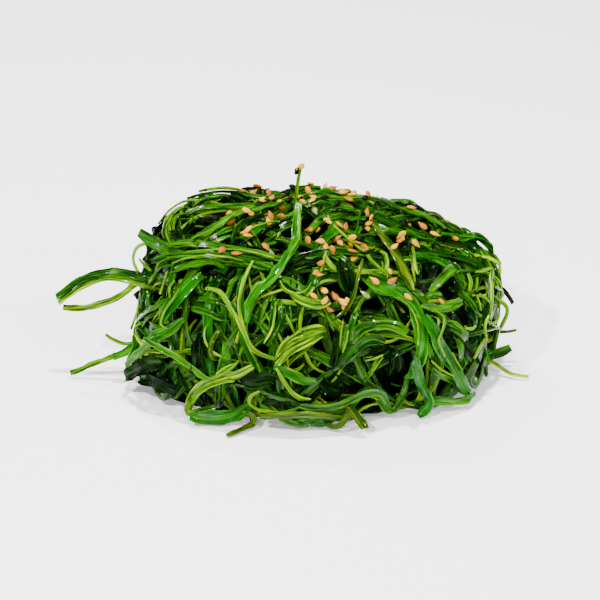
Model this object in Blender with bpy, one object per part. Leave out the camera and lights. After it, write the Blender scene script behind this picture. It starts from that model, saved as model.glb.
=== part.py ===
"""A served heap of dressed wakame: shredded stems, blades and thin lime-green threads lying tangled on
each other, with tan and black sesame seeds on top.

The heap stands on z = 0, its front faces -Y and its width runs along X. Sizes are in metres.
Strips are laid one after another on a domed bed, each on top of what lies under it. The buried ones only
raise the surface of a solid core; the outer ones are ribbons fused to that core, and the strips that the
eye follows from the front lie on them as pieces of their own.
"""

import math
import random
from dataclasses import dataclass, field

import bmesh
import bpy
import numpy as np
from mathutils import Vector
from mathutils.bvhtree import BVHTree

MM = 0.001

# Bed of the heap, under its loose strips: half extents, and the powers that round its plan and its sides.
BED_HALF_WIDTH = 43.0 * MM
BED_HALF_DEPTH = 37.5 * MM
BED_HEIGHT = 35.5 * MM
PLAN_POWER = 2.3
SIDE_POWER = 3.6
# Swellings and dips of the bed: direction from the middle of the base, share of the radius, spread.
LUMPS = (
    ((-0.58, 0.05, 0.80), 0.07, 0.26),
    ((-0.92, 0.00, 0.40), -0.05, 0.30),
    ((0.45, 0.00, 0.89), -0.07, 0.34),
    ((0.08, 0.12, 0.98), 0.10, 0.24),
    ((0.86, 0.00, 0.50), 0.06, 0.26),
    ((0.10, 0.75, 0.60), -0.06, 0.45),
    ((-0.86, -0.50, 0.10), 0.09, 0.26),
    ((-0.15, -0.98, 0.15), 0.02, 0.35),
    ((0.45, -0.88, 0.10), -0.06, 0.22),
)
# Which way the strips mostly run: places on the bed, and the run there.
GRAIN = (
    ((-0.60, -0.30, 0.75), (1.0, 0.0, -0.25)),
    ((-0.80, -0.50, 0.20), (0.7, -0.2, -0.6)),
    ((0.00, -0.90, 0.40), (0.35, 0.0, -1.0)),
    ((0.30, -0.90, 0.10), (-0.8, 0.0, -0.5)),
    ((0.60, -0.50, 0.60), (0.8, -0.2, -0.6)),
    ((0.90, -0.30, 0.30), (-0.3, 0.0, -1.0)),
    ((0.00, 0.00, 1.00), (1.0, 0.4, 0.0)),
    ((0.00, 0.90, 0.40), (-0.4, 0.0, -1.0)),
    ((-0.70, 0.70, 0.30), (0.5, 0.5, -0.8)),
    ((0.70, 0.70, 0.30), (0.6, -0.6, -0.6)),
)

# The front view in which the visible strips are drawn: its height above the horizon, its distance, and
# the spot of the picture plane (across, up) that it looks at.
VIEW_RISE = math.radians(25.0)
VIEW_DISTANCE = 0.62
VIEW_AIM = (-3.2 * MM, 15.2 * MM)

SEED = 4107
SPREAD = (0.7548776662, 0.5698402910)
FILL_COUNT = 230
FUSED_FILL = 43
STEP = 2.5 * MM
FLOOR_GAP = 0.4 * MM
CORE_SINK = 1.5 * MM
CORE_SECTORS = 34
CORE_RINGS = 11
FUSED_STEP = 6.0 * MM
LAID_STEP = 3.6 * MM
PIECE_GAP = 0.3 * MM
NUDGE = 0.2 * MM
BRIDGED_CELLS = 6
MOST_DEPTH_SLOPE = 1.2
MOST_NUDGES = 60
UP = np.array((0.0, 0.0, 1.0))


@dataclass(frozen=True)
class Kind:
    """One kind of shredded strip, with ranges of its sizes in metres."""

    share: float
    width: tuple
    thickness: float
    length: tuple
    stray: float
    sweep: float
    sway: float
    twist: float
    tone: str


KINDS = {
    "stem": Kind(0.36, (2.0 * MM, 3.0 * MM), 1.0 * MM, (45 * MM, 85 * MM), 0.5, 0.018, 0.045, 0.5, "green"),
    "blade": Kind(0.26, (3.4 * MM, 5.4 * MM), 0.7 * MM, (28 * MM, 55 * MM), 0.5, 0.018, 0.040, 0.4, "bright"),
    "thread": Kind(0.24, (0.9 * MM, 1.4 * MM), 0.8 * MM, (30 * MM, 70 * MM), 1.2, 0.035, 0.100, 0.8, "lime"),
    "frill": Kind(0.14, (3.6 * MM, 5.0 * MM), 0.8 * MM, (16 * MM, 26 * MM), 1.2, 0.030, 0.060, 0.7, "dark"),
}

# Strips that lie on the heap, drawn in the front view from the middle of the base: (across, up) in mm,
# with the tone and the width in mm.
LAID_STRIPS = {
    "comb_upper": ("green", 2.8, [(-41, 29), (-34, 29.3), (-26, 28.3), (-16.5, 27), (-7, 25)]),
    "comb_lower": ("green", 2.8, [(-42, 25.3), (-34, 26), (-24.5, 25.3), (-16.5, 24), (-11, 22.5)]),
    "loop_edge": ("green", 1.5, [(-8.5, 15), (-8.3, 10.5), (-9.6, 6.5), (-12, 3)]),
    "left_edge": ("lime", 1.6, [(-45.5, 20.5), (-46, 16.5), (-46.4, 12.5), (-47, 8.5)]),
    "left_dark": ("dark", 4.5, [(-49, -5.5), (-46, -4), (-43, -2), (-39.5, -1.3)]),
    "left_leaf": ("bright", 3.0, [(-43, 4.3), (-40, 6), (-37, 7), (-33, 9.6)]),
    "left_slant": ("bright", 2.6, [(-48, -2.5), (-45.5, -0.5), (-42.7, 2), (-40.5, 5)]),
    "left_crossing": ("bright", 1.8, [(-42.4, 4.8), (-39, 3), (-35, 0.3), (-31, -2), (-26.4, -5.6)]),
    "left_tapering": ("bright", 3.6, [(-28.5, 21), (-32, 18.4), (-34.7, 14.7), (-38.4, 8.8)]),
    "shoulder_lower": ("green", 2.4, [(-33.3, 38), (-28.5, 39), (-22, 39.5), (-15, 40)]),
    "shoulder_upper": ("green", 2.6, [(-33, 41.6), (-29, 42.6), (-23, 43), (-16.5, 42.4), (-9.6, 41.6)]),
    "shoulder_top": ("lime", 2.2, [(-29, 44), (-25.6, 45), (-21, 45.3), (-16.3, 44)]),
    "shoulder_diagonal": ("bright", 2.2, [(-31, 29.3), (-27, 32.3), (-22.4, 35.5), (-15.5, 38), (-7.5, 40.5)]),
    "falling_bright": (
        "bright", 2.8,
        [(-3.5, 40.8), (-4, 35), (-4.3, 30), (-6.4, 25.3), (-9.6, 21), (-14, 17.3), (-16.3, 13), (-16.8, 8.8)],
    ),
    "lime_fork_right": ("lime", 1.0, [(-15.2, 24), (-17.6, 20), (-19, 14.4), (-18.4, 9.3), (-16.8, 4.5)]),
    "lime_fork_left": (
        "lime", 1.2,
        [(-28, 18), (-24, 17), (-21, 12.3), (-18, 8), (-16, 3.2), (-13.3, 0.8), (-9.6, -0.3)],
    ),
    "centre_arch": ("green", 3.0, [(10, 3.5), (12, 7), (16, 8.5), (21, 8.3), (25, 6.4)]),
    "centre_fold": ("green", 3.0, [(7, -2.7), (9.3, 0.3), (12.3, 3), (15.5, 5), (19, 4)]),
    "centre_bud": ("lime", 2.6, [(-5.3, 16.5), (-2, 14.4), (1.6, 13.6), (4.8, 14.7)]),
    "centre_leaf": ("bright", 2.6, [(-10, -2), (-6, -4), (-2, -6), (1, -6)]),
    "centre_lime": ("lime", 2.6, [(-9.3, -1.6), (-6, 2), (-0.8, 4.5), (2.7, 6)]),
    "centre_root": ("lime", 1.2, [(-9.3, -2.4), (-7, -6.4), (-4, -10), (-0.5, -11)]),
    "ridge_strip": (
        "green", 2.8,
        [(-1.6, 38.7), (1.6, 40.3), (7, 41), (14.4, 40.8), (22, 39), (29.6, 36), (35, 33.3)],
    ),
    "right_shoulder": ("green", 3.5, [(34, 32), (39, 31), (43.7, 30.7), (47.7, 27.5)]),
    "olive_diagonal": ("olive", 2.6, [(16.5, 34.7), (19.5, 31), (22.4, 26.7), (25, 22), (27.7, 16.5)]),
    "brown_twig": ("olive", 1.0, [(13.3, 25.6), (12, 20.3), (10.7, 15.5), (8.5, 12), (5.3, 9.3)]),
    "wide_blade": (
        "bright", 4.4,
        [(14.4, 20.3), (18, 18), (22.7, 16), (26.7, 12.3), (28.3, 7), (27.5, 1.3), (25.3, -5.6)],
    ),
    "right_stub": ("bright", 2.4, [(28, 12.8), (32, 12.5), (35.7, 13), (39.5, 14.4)]),
    "right_blade": ("bright", 4.0, [(28.3, 10.4), (32, 4.5), (36, -2), (39, -7), (41, -9.6)]),
    "right_hem": ("bright", 2.6, [(30, -11.7), (34, -11.2), (38, -10.7), (41.6, -9)]),
    "right_drop": ("bright", 3.0, [(26, 1.3), (27, -3.5), (29, -8.5), (30.7, -12), (30, -15.5)]),
    "front_hook": (
        "lime", 2.4,
        [(-30, -15.7), (-31.5, -12.8), (-30.7, -9.3), (-28, -6.7), (-23.7, -5), (-19, -4), (-15, -2)],
    ),
    "foot_blade": ("bright", 4.2, [(-28, -12.8), (-24, -14.4), (-19.7, -14.4), (-16.3, -12.3)]),
    "foot_ring": (
        "lime", 0.9,
        [(-13.3, -8.3), (-16.3, -10), (-15.7, -12.5), (-12.3, -14), (-7.5, -14.4), (-3, -12.5)],
    ),
    "foot_hook": (
        "green", 2.4,
        [(-3.2, -12), (2, -13), (7, -12.3), (11, -10), (15, -8.5), (18.4, -9.6), (19.2, -12)],
    ),
    "foot_curl": (
        "olive", 2.0,
        [(-13.3, -15), (-7, -14.7), (-1, -14.2), (6, -15.2), (11.2, -15.5), (12.5, -17), (9.6, -18.4), (3.5, -17.6)],
    ),
    "foot_tail": ("olive", 2.0, [(-18, -13.6), (-15.7, -15.2), (-15.2, -17.3), (-18, -19.5), (-22.4, -21.3)]),
}

# Strips and threads that stick out of the heap, rooted in it: tone, width in mm, and points in mm.
SPRIGS = {
    "eye_upper": ("green", 2.3, [(-34, -8, 20), (-43, -8, 24.5), (-52, -7, 28), (-60, -6, 26), (-67.5, -6, 20.5)]),
    "eye_lower": ("lime", 1.6, [(-36, -6, 24), (-45, -6, 21), (-52, -7, 18), (-59, -7, 17), (-66, -7, 17)]),
    "left_stub": ("green", 3.0, [(-29, -8, 30), (-36, -9, 32.5), (-45.5, -10, 40)]),
    "left_ring": ("lime", 0.9, [(-38, 2, 30), (-45, 2, 29), (-47, 1, 25), (-44, -2, 21), (-37, -4, 20)]),
    "left_runner": ("lime", 1.5, [(-36, -12, 8), (-45, -13, 6), (-52, -13, 3.5), (-58, -12, 2.2), (-63.5, -11, 1.2)]),
    "left_spur": ("lime", 0.9, [(-40, -4, 7), (-48, -4, 6.5), (-53, -3, 8)]),
    "right_lash": ("lime", 0.9, [(40, 0, 30), (47.5, 0, 28.5), (49, 0, 25), (47, -3, 21), (40, -4, 19)]),
    "right_post": ("lime", 1.8, [(41, -3, 27), (48, -4, 24), (48, -6, 18), (44, -7, 12), (38, -6, 9)]),
    "right_loop": ("lime", 1.3, [(38, -6, 17), (45, -7, 20), (50.5, -6, 18), (50, -6, 13), (46, -7, 8), (40, -7, 5)]),
    "right_claw": ("dark", 1.4, [(40, 4, 19), (48, 4, 19), (51, 4, 17.5), (53.3, 4, 14)]),
    "right_prong": ("olive", 0.9, [(40, -2, 8), (49, -2, 8.4), (54, -2, 9)]),
    "right_cup": ("green", 2.6, [(38, -4, 3), (47, -5, 3), (52.3, -5, 5.5)]),
    "right_tendril": ("lime", 1.1, [(38, -8, 4), (46, -9, 3.5), (50, -11, 2), (53, -13, 1), (56.5, -14, 0.9)]),
    "top_twig": ("olive", 1.0, [(-4.5, 8, 33), (-4.3, 7, 41), (-4, 6, 46), (-3.4, 6, 49.5)]),
}

# Sesame seeds. A clump's seeds touch; its place is in the front view, in mm, with its count of seeds.
SEED_SIZE = (3.1 * MM, 1.9 * MM, 0.9 * MM)
ROOMY_SEED = (3.6 * MM, 2.4 * MM, 1.4 * MM)
TAN_CLUMPS = (
    (4.5, 32.5, 7), (9.5, 30.5, 6), (14.5, 28.5, 5), (-2.0, 43.5, 5), (6.5, 45.0, 4),
    (24.0, 30.0, 5), (-16.0, 36.5, 4), (5.5, 15.5, 6),
)
BLACK_CLUMPS = ((14.8, 42.0, 3), (-19.0, 40.5, 4), (14.0, 34.5, 4), (30.0, 18.5, 3), (-10.5, 38.5, 3))
LONE_SEEDS = 14
SEED_SPACING = 0.62

TONES = {
    "core": (0.012, 0.060, 0.010, 1.0),
    "green": (0.035, 0.200, 0.015, 1.0),
    "bright": (0.040, 0.330, 0.030, 1.0),
    "lime": (0.300, 0.470, 0.030, 1.0),
    "olive": (0.120, 0.200, 0.012, 1.0),
    "dark": (0.010, 0.040, 0.012, 1.0),
    "tan_sesame": (0.720, 0.400, 0.150, 1.0),
    "black_sesame": (0.020, 0.012, 0.022, 1.0),
}
WET_ROUGHNESS = 0.22
SEED_ROUGHNESS = 0.55


@dataclass
class Strip:
    """A ribbon's course: points, outward normals and half widths at each, and its half thickness."""

    name: str
    points: np.ndarray
    normals: np.ndarray
    half_widths: np.ndarray
    half_thickness: float
    tone: str
    sides: np.ndarray = field(init=False)

    def __post_init__(self):
        self.frame_again()

    def frame_again(self):
        """Squares the normals with the course, and works out the direction across the ribbon."""
        tangents = unit(np.gradient(self.points, axis=0))
        across = (self.normals * tangents).sum(1)[:, None]
        self.normals = unit(self.normals - tangents * across)
        self.sides = np.cross(tangents, self.normals)


def unit(vectors):
    """The vectors at length 1."""
    return vectors / np.maximum(np.linalg.norm(vectors, axis=-1, keepdims=True), 1e-12)


def bed_radius(directions):
    """Distance from the middle of the base to the bed, in each direction."""
    x, y, z = np.abs(directions).T
    plan = (x / BED_HALF_WIDTH) ** PLAN_POWER + (y / BED_HALF_DEPTH) ** PLAN_POWER
    radius = (plan ** (SIDE_POWER / PLAN_POWER) + (z / BED_HEIGHT) ** SIDE_POWER) ** (-1 / SIDE_POWER)
    for place, share, spread in LUMPS:
        away = ((directions - unit(np.array(place))) ** 2).sum(-1)
        radius = radius * (1 + share * np.exp(-away / spread**2))
    return radius


def on_bed(points):
    """The points moved in or out along their own direction onto the bed."""
    directions = unit(points)
    return directions * bed_radius(directions)[..., None]


def bed_normals(points):
    """Outward unit normals of the bed under the points."""
    directions = unit(points)
    first = unit(np.cross(directions, np.where(np.abs(directions[:, :1]) < 0.8, (1, 0, 0), (0, 1, 0))))
    second = np.cross(directions, first)
    small = 0.02
    slopes = [on_bed(directions + small * axis) - on_bed(directions - small * axis) for axis in (first, second)]
    return unit(np.cross(slopes[0], slopes[1]))


def grain_at(points):
    """Which way the strips mostly run over the bed there."""
    directions = unit(points)
    run = np.zeros_like(directions)
    for place, way in GRAIN:
        away = ((directions - unit(np.array(place))) ** 2).sum(-1)
        run = run + np.exp(-away / 0.45**2)[..., None] * unit(np.array(way))
    normals = bed_normals(points)
    return unit(run - normals * (run * normals).sum(-1)[..., None])


class Pile:
    """How high the strips laid so far stand above the bed, on a flat disc of directions: the top of the
    heap is the middle of the disc and the level of the floor is its rim."""

    cells = 270
    reach = 1.25

    def __init__(self):
        self.heights = np.zeros((self.cells, self.cells))

    def cell_of(self, points):
        """Row and column of the cell in each point's direction."""
        directions = unit(points)
        polar = np.arccos(np.clip(directions[..., 2], -1, 1)) / (math.pi / 2)
        around = np.arctan2(directions[..., 1], directions[..., 0])
        spots = np.stack((polar * np.cos(around), polar * np.sin(around)), -1)
        cells = np.floor((spots / self.reach + 1) / 2 * self.cells).astype(int)
        cells = np.clip(cells, 0, self.cells - 1)
        return cells[..., 0], cells[..., 1]

    def height(self, points):
        """Height of the pile above the bed in each point's direction."""
        return self.heights[self.cell_of(points)]

    def under(self, strip):
        """The highest that the pile stands under each point of a strip, across its width."""
        shares = np.linspace(-1, 1, 5)[:, None, None]
        spread = strip.points + strip.sides * (strip.half_widths[:, None] * shares)
        return self.height(spread).max(0)

    def add(self, strip):
        """Raises the pile to the top of a strip."""
        fine = np.linspace(0, len(strip.points) - 1, 5 * len(strip.points))
        points = at_places(strip.points, fine)
        sides = at_places(strip.sides, fine)
        half_widths = at_places(strip.half_widths[:, None], fine)
        normals = at_places(strip.normals, fine)
        for share in np.linspace(-1, 1, 9):
            spots = points + sides * half_widths * share + normals * strip.half_thickness
            directions = unit(spots)
            tops = np.linalg.norm(spots, axis=1) - bed_radius(directions)
            np.maximum.at(self.heights, self.cell_of(spots), tops)

    def levelled(self):
        """The pile as a strip laid across it meets it: its narrow gaps bridged, its steps softened."""
        heights = self.heights
        for _ in range(BRIDGED_CELLS):
            heights = spread_over(heights, np.maximum)
        for _ in range(BRIDGED_CELLS - 2):
            heights = spread_over(heights, np.minimum)
        for _ in range(3):
            heights = spread_over(heights, np.add)
        level = Pile()
        level.heights = heights
        return level


def spread_over(heights, join):
    """Each cell joined with its four neighbours, taken as their largest, smallest or mean height."""
    padded = np.pad(heights, 1, mode="edge")
    joined = heights
    for near in (padded[2:, 1:-1], padded[:-2, 1:-1], padded[1:-1, 2:], padded[1:-1, :-2]):
        joined = join(joined, near)
    return joined / 5 if join is np.add else joined


def at_places(values, places):
    """Rows of values at fractional places along it."""
    low = np.clip(np.floor(places).astype(int), 0, len(values) - 2)
    share = (places - low)[:, None]
    return values[low] * (1 - share) + values[low + 1] * share


def softened(values, rounds):
    """Values along a course, each averaged with its neighbours, the ends kept."""
    for _ in range(rounds):
        inner = (values[:-2] + 2 * values[1:-1] + values[2:]) / 4
        values = np.concatenate((values[:1], inner, values[-1:]))
    return values


def smooth_course(corners, spacing):
    """A Catmull-Rom curve through the corners, with points about one spacing apart."""
    corners = np.asarray(corners, float)
    ends = np.vstack((2 * corners[0] - corners[1], corners, 2 * corners[-1] - corners[-2]))
    dense = []
    for p0, p1, p2, p3 in zip(ends, ends[1:], ends[2:], ends[3:]):
        for t in np.linspace(0, 1, 12, endpoint=False):
            dense.append(
                0.5 * (2 * p1 + (p2 - p0) * t + (2 * p0 - 5 * p1 + 4 * p2 - p3) * t**2
                       + (3 * p1 - p0 - 3 * p2 + p3) * t**3)
            )
    return evenly(np.array(dense + [corners[-1]]), spacing)


def evenly(course, spacing):
    """The course with points about one spacing apart."""
    along = np.concatenate(((0,), np.cumsum(np.linalg.norm(np.diff(course, axis=0), axis=1))))
    count = max(3, round(along[-1] / spacing) + 1)
    wanted = np.linspace(0, along[-1], count)
    return np.stack([np.interp(wanted, along, column) for column in course.T], 1)


def tapered(count, width, tip):
    """Half widths along a strip that narrows to a share of its width at both ends."""
    places = np.linspace(0, 1, count)
    ends = np.clip(np.minimum(places, 1 - places) * 6, 0, 1)
    return width / 2 * (tip + (1 - tip) * np.sqrt(ends))


def kept_off_floor(strip):
    """Lifts what lies lower than the floor gap."""
    reach = np.abs(strip.sides[:, 2]) * strip.half_widths + np.abs(strip.normals[:, 2]) * strip.half_thickness
    strip.points[:, 2] = np.maximum(strip.points[:, 2], reach + FLOOR_GAP)


def wandering_course(rng, index, length, kind):
    """A course that wanders over the bed. The strips' starts are spread evenly by their indices."""
    around = 2 * math.pi * (index * SPREAD[0] % 1)
    rise = 0.04 + 0.96 * (index * SPREAD[1] % 1)
    level = math.sqrt(1 - rise**2)
    point = on_bed(np.array([[level * math.cos(around), level * math.sin(around), rise]]))
    normal = bed_normals(point)
    along = grain_at(point)
    heading = rng.gauss(0, kind.stray) + rng.choice((0.0, math.pi))
    tangent = along * math.cos(heading) + np.cross(normal, along) * math.sin(heading)
    sweep = rng.gauss(0, kind.sweep)
    sway = rng.uniform(0.3, 1.0) * kind.sway
    phase = rng.uniform(0, 2 * math.pi)
    sway_length = rng.uniform(18, 34)
    course = [point[0]]
    for step in range(round(length / STEP)):
        travelled = step * STEP / MM
        turn = STEP / MM * (sweep + sway * math.sin(2 * math.pi * travelled / sway_length + phase))
        tangent = tangent * math.cos(turn) + np.cross(normal, tangent) * math.sin(turn)
        point = on_bed(point + tangent * STEP)
        if point[0, 2] < 1.5 * MM:
            point[0, 2] = 1.5 * MM
            tangent[0, 2] = abs(tangent[0, 2]) + 0.15
        normal = bed_normals(point)
        tangent = unit(tangent - normal * (tangent * normal).sum())
        course.append(point[0])
    return np.array(course)


def fill_strip(index):
    """One strip of the tangle, the same each time for its index, on the bed."""
    rng = random.Random(SEED * 1000 + index)
    names = list(KINDS)
    name = rng.choices(names, [KINDS[n].share for n in names])[0]
    kind = KINDS[name]
    width = rng.uniform(*kind.width)
    course = wandering_course(rng, index, rng.uniform(*kind.length), kind)
    count = len(course)
    strip = Strip(
        f"{name}_{index}", course, bed_normals(course), tapered(count, width, 0.55), kind.thickness / 2, kind.tone
    )
    twist = rng.gauss(0, kind.twist) + np.linspace(0, rng.gauss(0, kind.twist * 1.6), count)
    strip.normals = strip.normals * np.cos(twist)[:, None] + strip.sides * np.sin(twist)[:, None]
    strip.frame_again()
    strip.weave = (rng.uniform(0.2, 1.0) * MM, rng.uniform(0.25, 0.5), rng.uniform(0, 2 * math.pi))
    strip.dives = (rng.uniform(0.0, 3.0) * MM, rng.uniform(0.0, 3.0) * MM)
    return strip


def lay_on(pile, strip):
    """Lifts a strip of the bed onto the pile under it, with its ends tucked in, and adds it to the pile."""
    under = pile.under(strip)
    bridged = np.maximum(under, np.maximum(np.roll(under, 1), np.roll(under, -1)))
    places = np.arange(len(under))
    height, pace, phase = strip.weave
    lift = 0.7 * softened(bridged, 4) + 0.2 * softened(under, 6) + strip.half_thickness
    lift = lift + height * np.sin(places * pace + phase)
    first, last = strip.dives
    lift = lift - first * np.exp(-places / 2.5) - last * np.exp(-places[::-1] / 2.5)
    strip.points = strip.points + unit(strip.points) * np.maximum(lift, 0.0)[:, None]
    for axis in range(3):
        strip.points[:, axis] = softened(strip.points[:, axis], 2)
    strip.frame_again()
    kept_off_floor(strip)
    pile.add(strip)


def line_of_sight(across, up):
    """The viewer's eye and the direction in which it sees a spot of the front view."""
    sight = np.array((0.0, math.cos(VIEW_RISE), -math.sin(VIEW_RISE)))
    above = np.array((0.0, math.sin(VIEW_RISE), math.cos(VIEW_RISE)))
    eye = np.array((VIEW_AIM[0], 0.0, 0.0)) + VIEW_AIM[1] * above - sight * VIEW_DISTANCE
    return eye, unit(np.array((across, 0.0, 0.0)) + up * above - eye)


def sighting(pile, across, up):
    """How far from the eye the line of sight first meets the pile or the floor before it, and whether it
    is the floor. A line that misses the heap gives the distance where it passes nearest."""
    eye, ray = line_of_sight(across, up)
    travel = np.arange(VIEW_DISTANCE - 75 * MM, VIEW_DISTANCE + 90 * MM, 0.4 * MM)
    spots = eye + ray * travel[:, None]
    outside = np.linalg.norm(spots, axis=1) - bed_radius(unit(spots)) - pile.height(spots)
    standing = spots[:, 2] > FLOOR_GAP
    inside = np.flatnonzero((outside < 0) & standing)
    if len(inside):
        return travel[inside[0]], False
    nearest = np.argmin(np.where(standing, outside, 1.0))
    landed = np.argmin(standing)
    if not standing[landed] and nearest > landed - 8:
        return travel[landed], True
    return travel[nearest], False


def seen_point(pile, across, up):
    """Where the line of sight through a spot of the front view meets the pile."""
    eye, ray = line_of_sight(across, up)
    return eye + ray * sighting(pile, across, up)[0]


def laid_strip(pile, name, tone, width, route):
    """A strip whose route is drawn in the front view, on top of the pile. It bridges what lies deeper."""
    drawn = smooth_course(np.array(route) * MM, STEP)
    found = [sighting(pile, across, up) for across, up in drawn]
    travel = np.array([distance for distance, _ in found])
    for places in (range(1, len(travel)), range(len(travel) - 2, -1, -1)):
        before = -1 if places.step == 1 else 1
        for place in places:
            travel[place] = min(travel[place], travel[place + before] + MOST_DEPTH_SLOPE * STEP)
    travel = softened(travel, 4)
    lines = [line_of_sight(across, up) for across, up in drawn]
    points = np.array([eye + ray * distance for (eye, ray), distance in zip(lines, travel)])
    floored = np.array([on_floor for _, on_floor in found], float)[:, None]
    thickness = 0.8 * MM if width > 1.3 else 0.7 * MM
    points = points + unit(points) * thickness * 0.6
    normals = unit(bed_normals(points) * (1 - floored) + UP * floored)
    for axis in range(3):
        normals[:, axis] = softened(normals[:, axis], 3)
    half_widths = tapered(len(points), width * MM, 0.6)
    strip = Strip(name, points, normals, half_widths, thickness / 2, tone)
    kept_off_floor(strip)
    return strip


def sprig(name, tone, width, places):
    """A strip that stands out of the heap along given points."""
    points = smooth_course(np.array(places, float) * MM, STEP)
    normals = unit(bed_normals(points) + 0.35 * UP)
    thickness = min(1.0, width) * MM
    strip = Strip(name, points, normals, tapered(len(points), width * MM, 0.7), thickness / 2, tone)
    kept_off_floor(strip)
    return strip


def resampled(strip, spacing):
    """The strip with points about one spacing apart, for a solid with few faces."""
    along = np.linalg.norm(np.diff(strip.points, axis=0), axis=1).sum()
    count = max(4, round(along / spacing) + 1)
    places = np.linspace(0, len(strip.points) - 1, count)
    return Strip(
        strip.name,
        at_places(strip.points, places),
        at_places(strip.normals, places),
        at_places(strip.half_widths[:, None], places)[:, 0],
        strip.half_thickness,
        strip.tone,
    )


def material(tone, roughness):
    """The wet green or seed finish of a tone, made once."""
    found = bpy.data.materials.get(tone)
    if found:
        return found
    made = bpy.data.materials.new(tone)
    made.use_nodes = True
    shader = made.node_tree.nodes["Principled BSDF"]
    shader.inputs["Base Color"].default_value = TONES[tone]
    shader.inputs["Roughness"].default_value = roughness
    return made


def shown(name, mesh, tone, collection, roughness=WET_ROUGHNESS):
    """An object of the heap with its material."""
    piece = bpy.data.objects.new(name, mesh)
    mesh.materials.clear()
    mesh.materials.append(material(tone, roughness))
    collection.objects.link(piece)
    return piece


def ribbon_mesh(strip, swell=0.0):
    """A closed loft of oblong sections whose width and turn change along the strip, which no tool makes.

    A swollen one stands for the room that the strip needs. Its broad faces are split into triangles alike
    above and below, so that a twisted strip keeps its thickness."""
    shape = bmesh.new()
    rings = []
    for point, side, normal, half in zip(strip.points, strip.sides, strip.normals, strip.half_widths):
        out = normal * (strip.half_thickness + swell)
        half = half + swell
        corners = (side * half + out, -side * half + out, -side * half - out, side * half - out)
        rings.append([shape.verts.new(point + corner) for corner in corners])
    for near, far in zip(rings, rings[1:]):
        a, b, c, d = near
        e, f, g, h = far
        for triangle in ((a, b, f), (a, f, e), (d, g, c), (d, h, g), (b, c, g), (b, g, f), (a, e, h), (a, h, d)):
            shape.faces.new(triangle)
    for ring in (rings[0], rings[-1]):
        shape.faces.new((ring[0], ring[1], ring[2]))
        shape.faces.new((ring[0], ring[2], ring[3]))
    bmesh.ops.recalc_face_normals(shape, faces=shape.faces)
    mesh = bpy.data.meshes.new(strip.name)
    shape.to_mesh(mesh)
    shape.free()
    return mesh


def core_mesh(pile):
    """The buried part of the tangle: a ball turned into the bed with the pile on it, cut flat at the floor."""
    shape = bmesh.new()
    bmesh.ops.create_uvsphere(shape, u_segments=CORE_SECTORS, v_segments=2 * CORE_RINGS, radius=1.0)
    for vertex in shape.verts:
        direction = unit(np.array([vertex.co]))
        radius = bed_radius(direction)
        raised = pile.height(direction * radius[:, None])
        vertex.co = Vector(direction[0] * (radius + np.maximum(raised - CORE_SINK, 0.0))[0])
    bmesh.ops.bisect_plane(
        shape, geom=shape.verts[:] + shape.edges[:] + shape.faces[:], plane_co=(0, 0, 0), plane_no=(0, 0, -1),
        clear_outer=True,
    )
    rim = [edge for edge in shape.edges if edge.is_boundary]
    bmesh.ops.contextual_create(shape, geom=rim)
    bmesh.ops.recalc_face_normals(shape, faces=shape.faces)
    bmesh.ops.triangulate(shape, faces=shape.faces)
    mesh = bpy.data.meshes.new("core")
    shape.to_mesh(mesh)
    shape.free()
    return mesh


def seed_mesh(centre, along, normal, size=SEED_SIZE):
    """A sesame seed: a small ball of few faces, flattened and drawn to a point at one end."""
    shape = bmesh.new()
    bmesh.ops.create_icosphere(shape, subdivisions=1, radius=0.5)
    across = np.cross(normal, along)
    for vertex in shape.verts:
        x, y, z = vertex.co
        narrowing = 1 - 0.7 * max(x, 0.0)
        spot = along * x * size[0] + across * y * size[1] * narrowing + normal * z * size[2] * narrowing
        vertex.co = Vector(centre + spot)
    bmesh.ops.recalc_face_normals(shape, faces=shape.faces)
    mesh = bpy.data.meshes.new("seed")
    shape.to_mesh(mesh)
    shape.free()
    return mesh


def fused(name, meshes, tone, collection, roughness=WET_ROUGHNESS):
    """One body from overlapping meshes: their union, without the scraps and sealed hollows it leaves."""
    joined = bpy.data.collections.new(name + "_pieces")
    bpy.context.scene.collection.children.link(joined)
    base = shown(name, meshes[0], tone, collection, roughness)
    for number, mesh in enumerate(meshes[1:]):
        joined.objects.link(bpy.data.objects.new(f"{name}_piece_{number}", mesh))
    union = base.modifiers.new("union", "BOOLEAN")
    union.operation = "UNION"
    union.solver = "MANIFOLD"
    union.operand_type = "COLLECTION"
    union.collection = joined
    graph = bpy.context.evaluated_depsgraph_get()
    mesh = bpy.data.meshes.new_from_object(base.evaluated_get(graph))
    base.modifiers.remove(union)
    for piece in list(joined.objects):
        bpy.data.objects.remove(piece)
    bpy.data.collections.remove(joined)
    keep_largest_body(mesh)
    base.data = mesh
    mesh.materials.clear()
    mesh.materials.append(material(tone, roughness))
    return base


def closed_shape(mesh, shortest):
    """The mesh in triangles, with its edges under a length collapsed. None if that opens it."""
    shape = bmesh.new()
    shape.from_mesh(mesh)
    if shortest:
        bmesh.ops.dissolve_degenerate(shape, dist=shortest, edges=shape.edges)
    bmesh.ops.triangulate(shape, faces=shape.faces)
    if all(edge.is_manifold for edge in shape.edges):
        return shape
    shape.free()
    return None


def keep_largest_body(mesh):
    """Removes every loose scrap and inner wall of a mesh."""
    shape = closed_shape(mesh, 0.002 * MM) or closed_shape(mesh, 0.0)
    left = set(shape.faces)
    bodies = []
    while left:
        queue = [left.pop()]
        body = set(queue)
        while queue:
            for edge in queue.pop().edges:
                for face in edge.link_faces:
                    if face in left:
                        left.discard(face)
                        body.add(face)
                        queue.append(face)
        bodies.append(body)
    bodies.sort(key=len)
    for body in bodies[:-1]:
        bmesh.ops.delete(shape, geom=list(body), context="FACES")
    shape.to_mesh(mesh)
    shape.free()


def tree_of(mesh):
    """A search tree of a mesh's faces."""
    vertices = [vertex.co.copy() for vertex in mesh.vertices]
    return BVHTree.FromPolygons(vertices, [tuple(polygon.vertices) for polygon in mesh.polygons])


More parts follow.
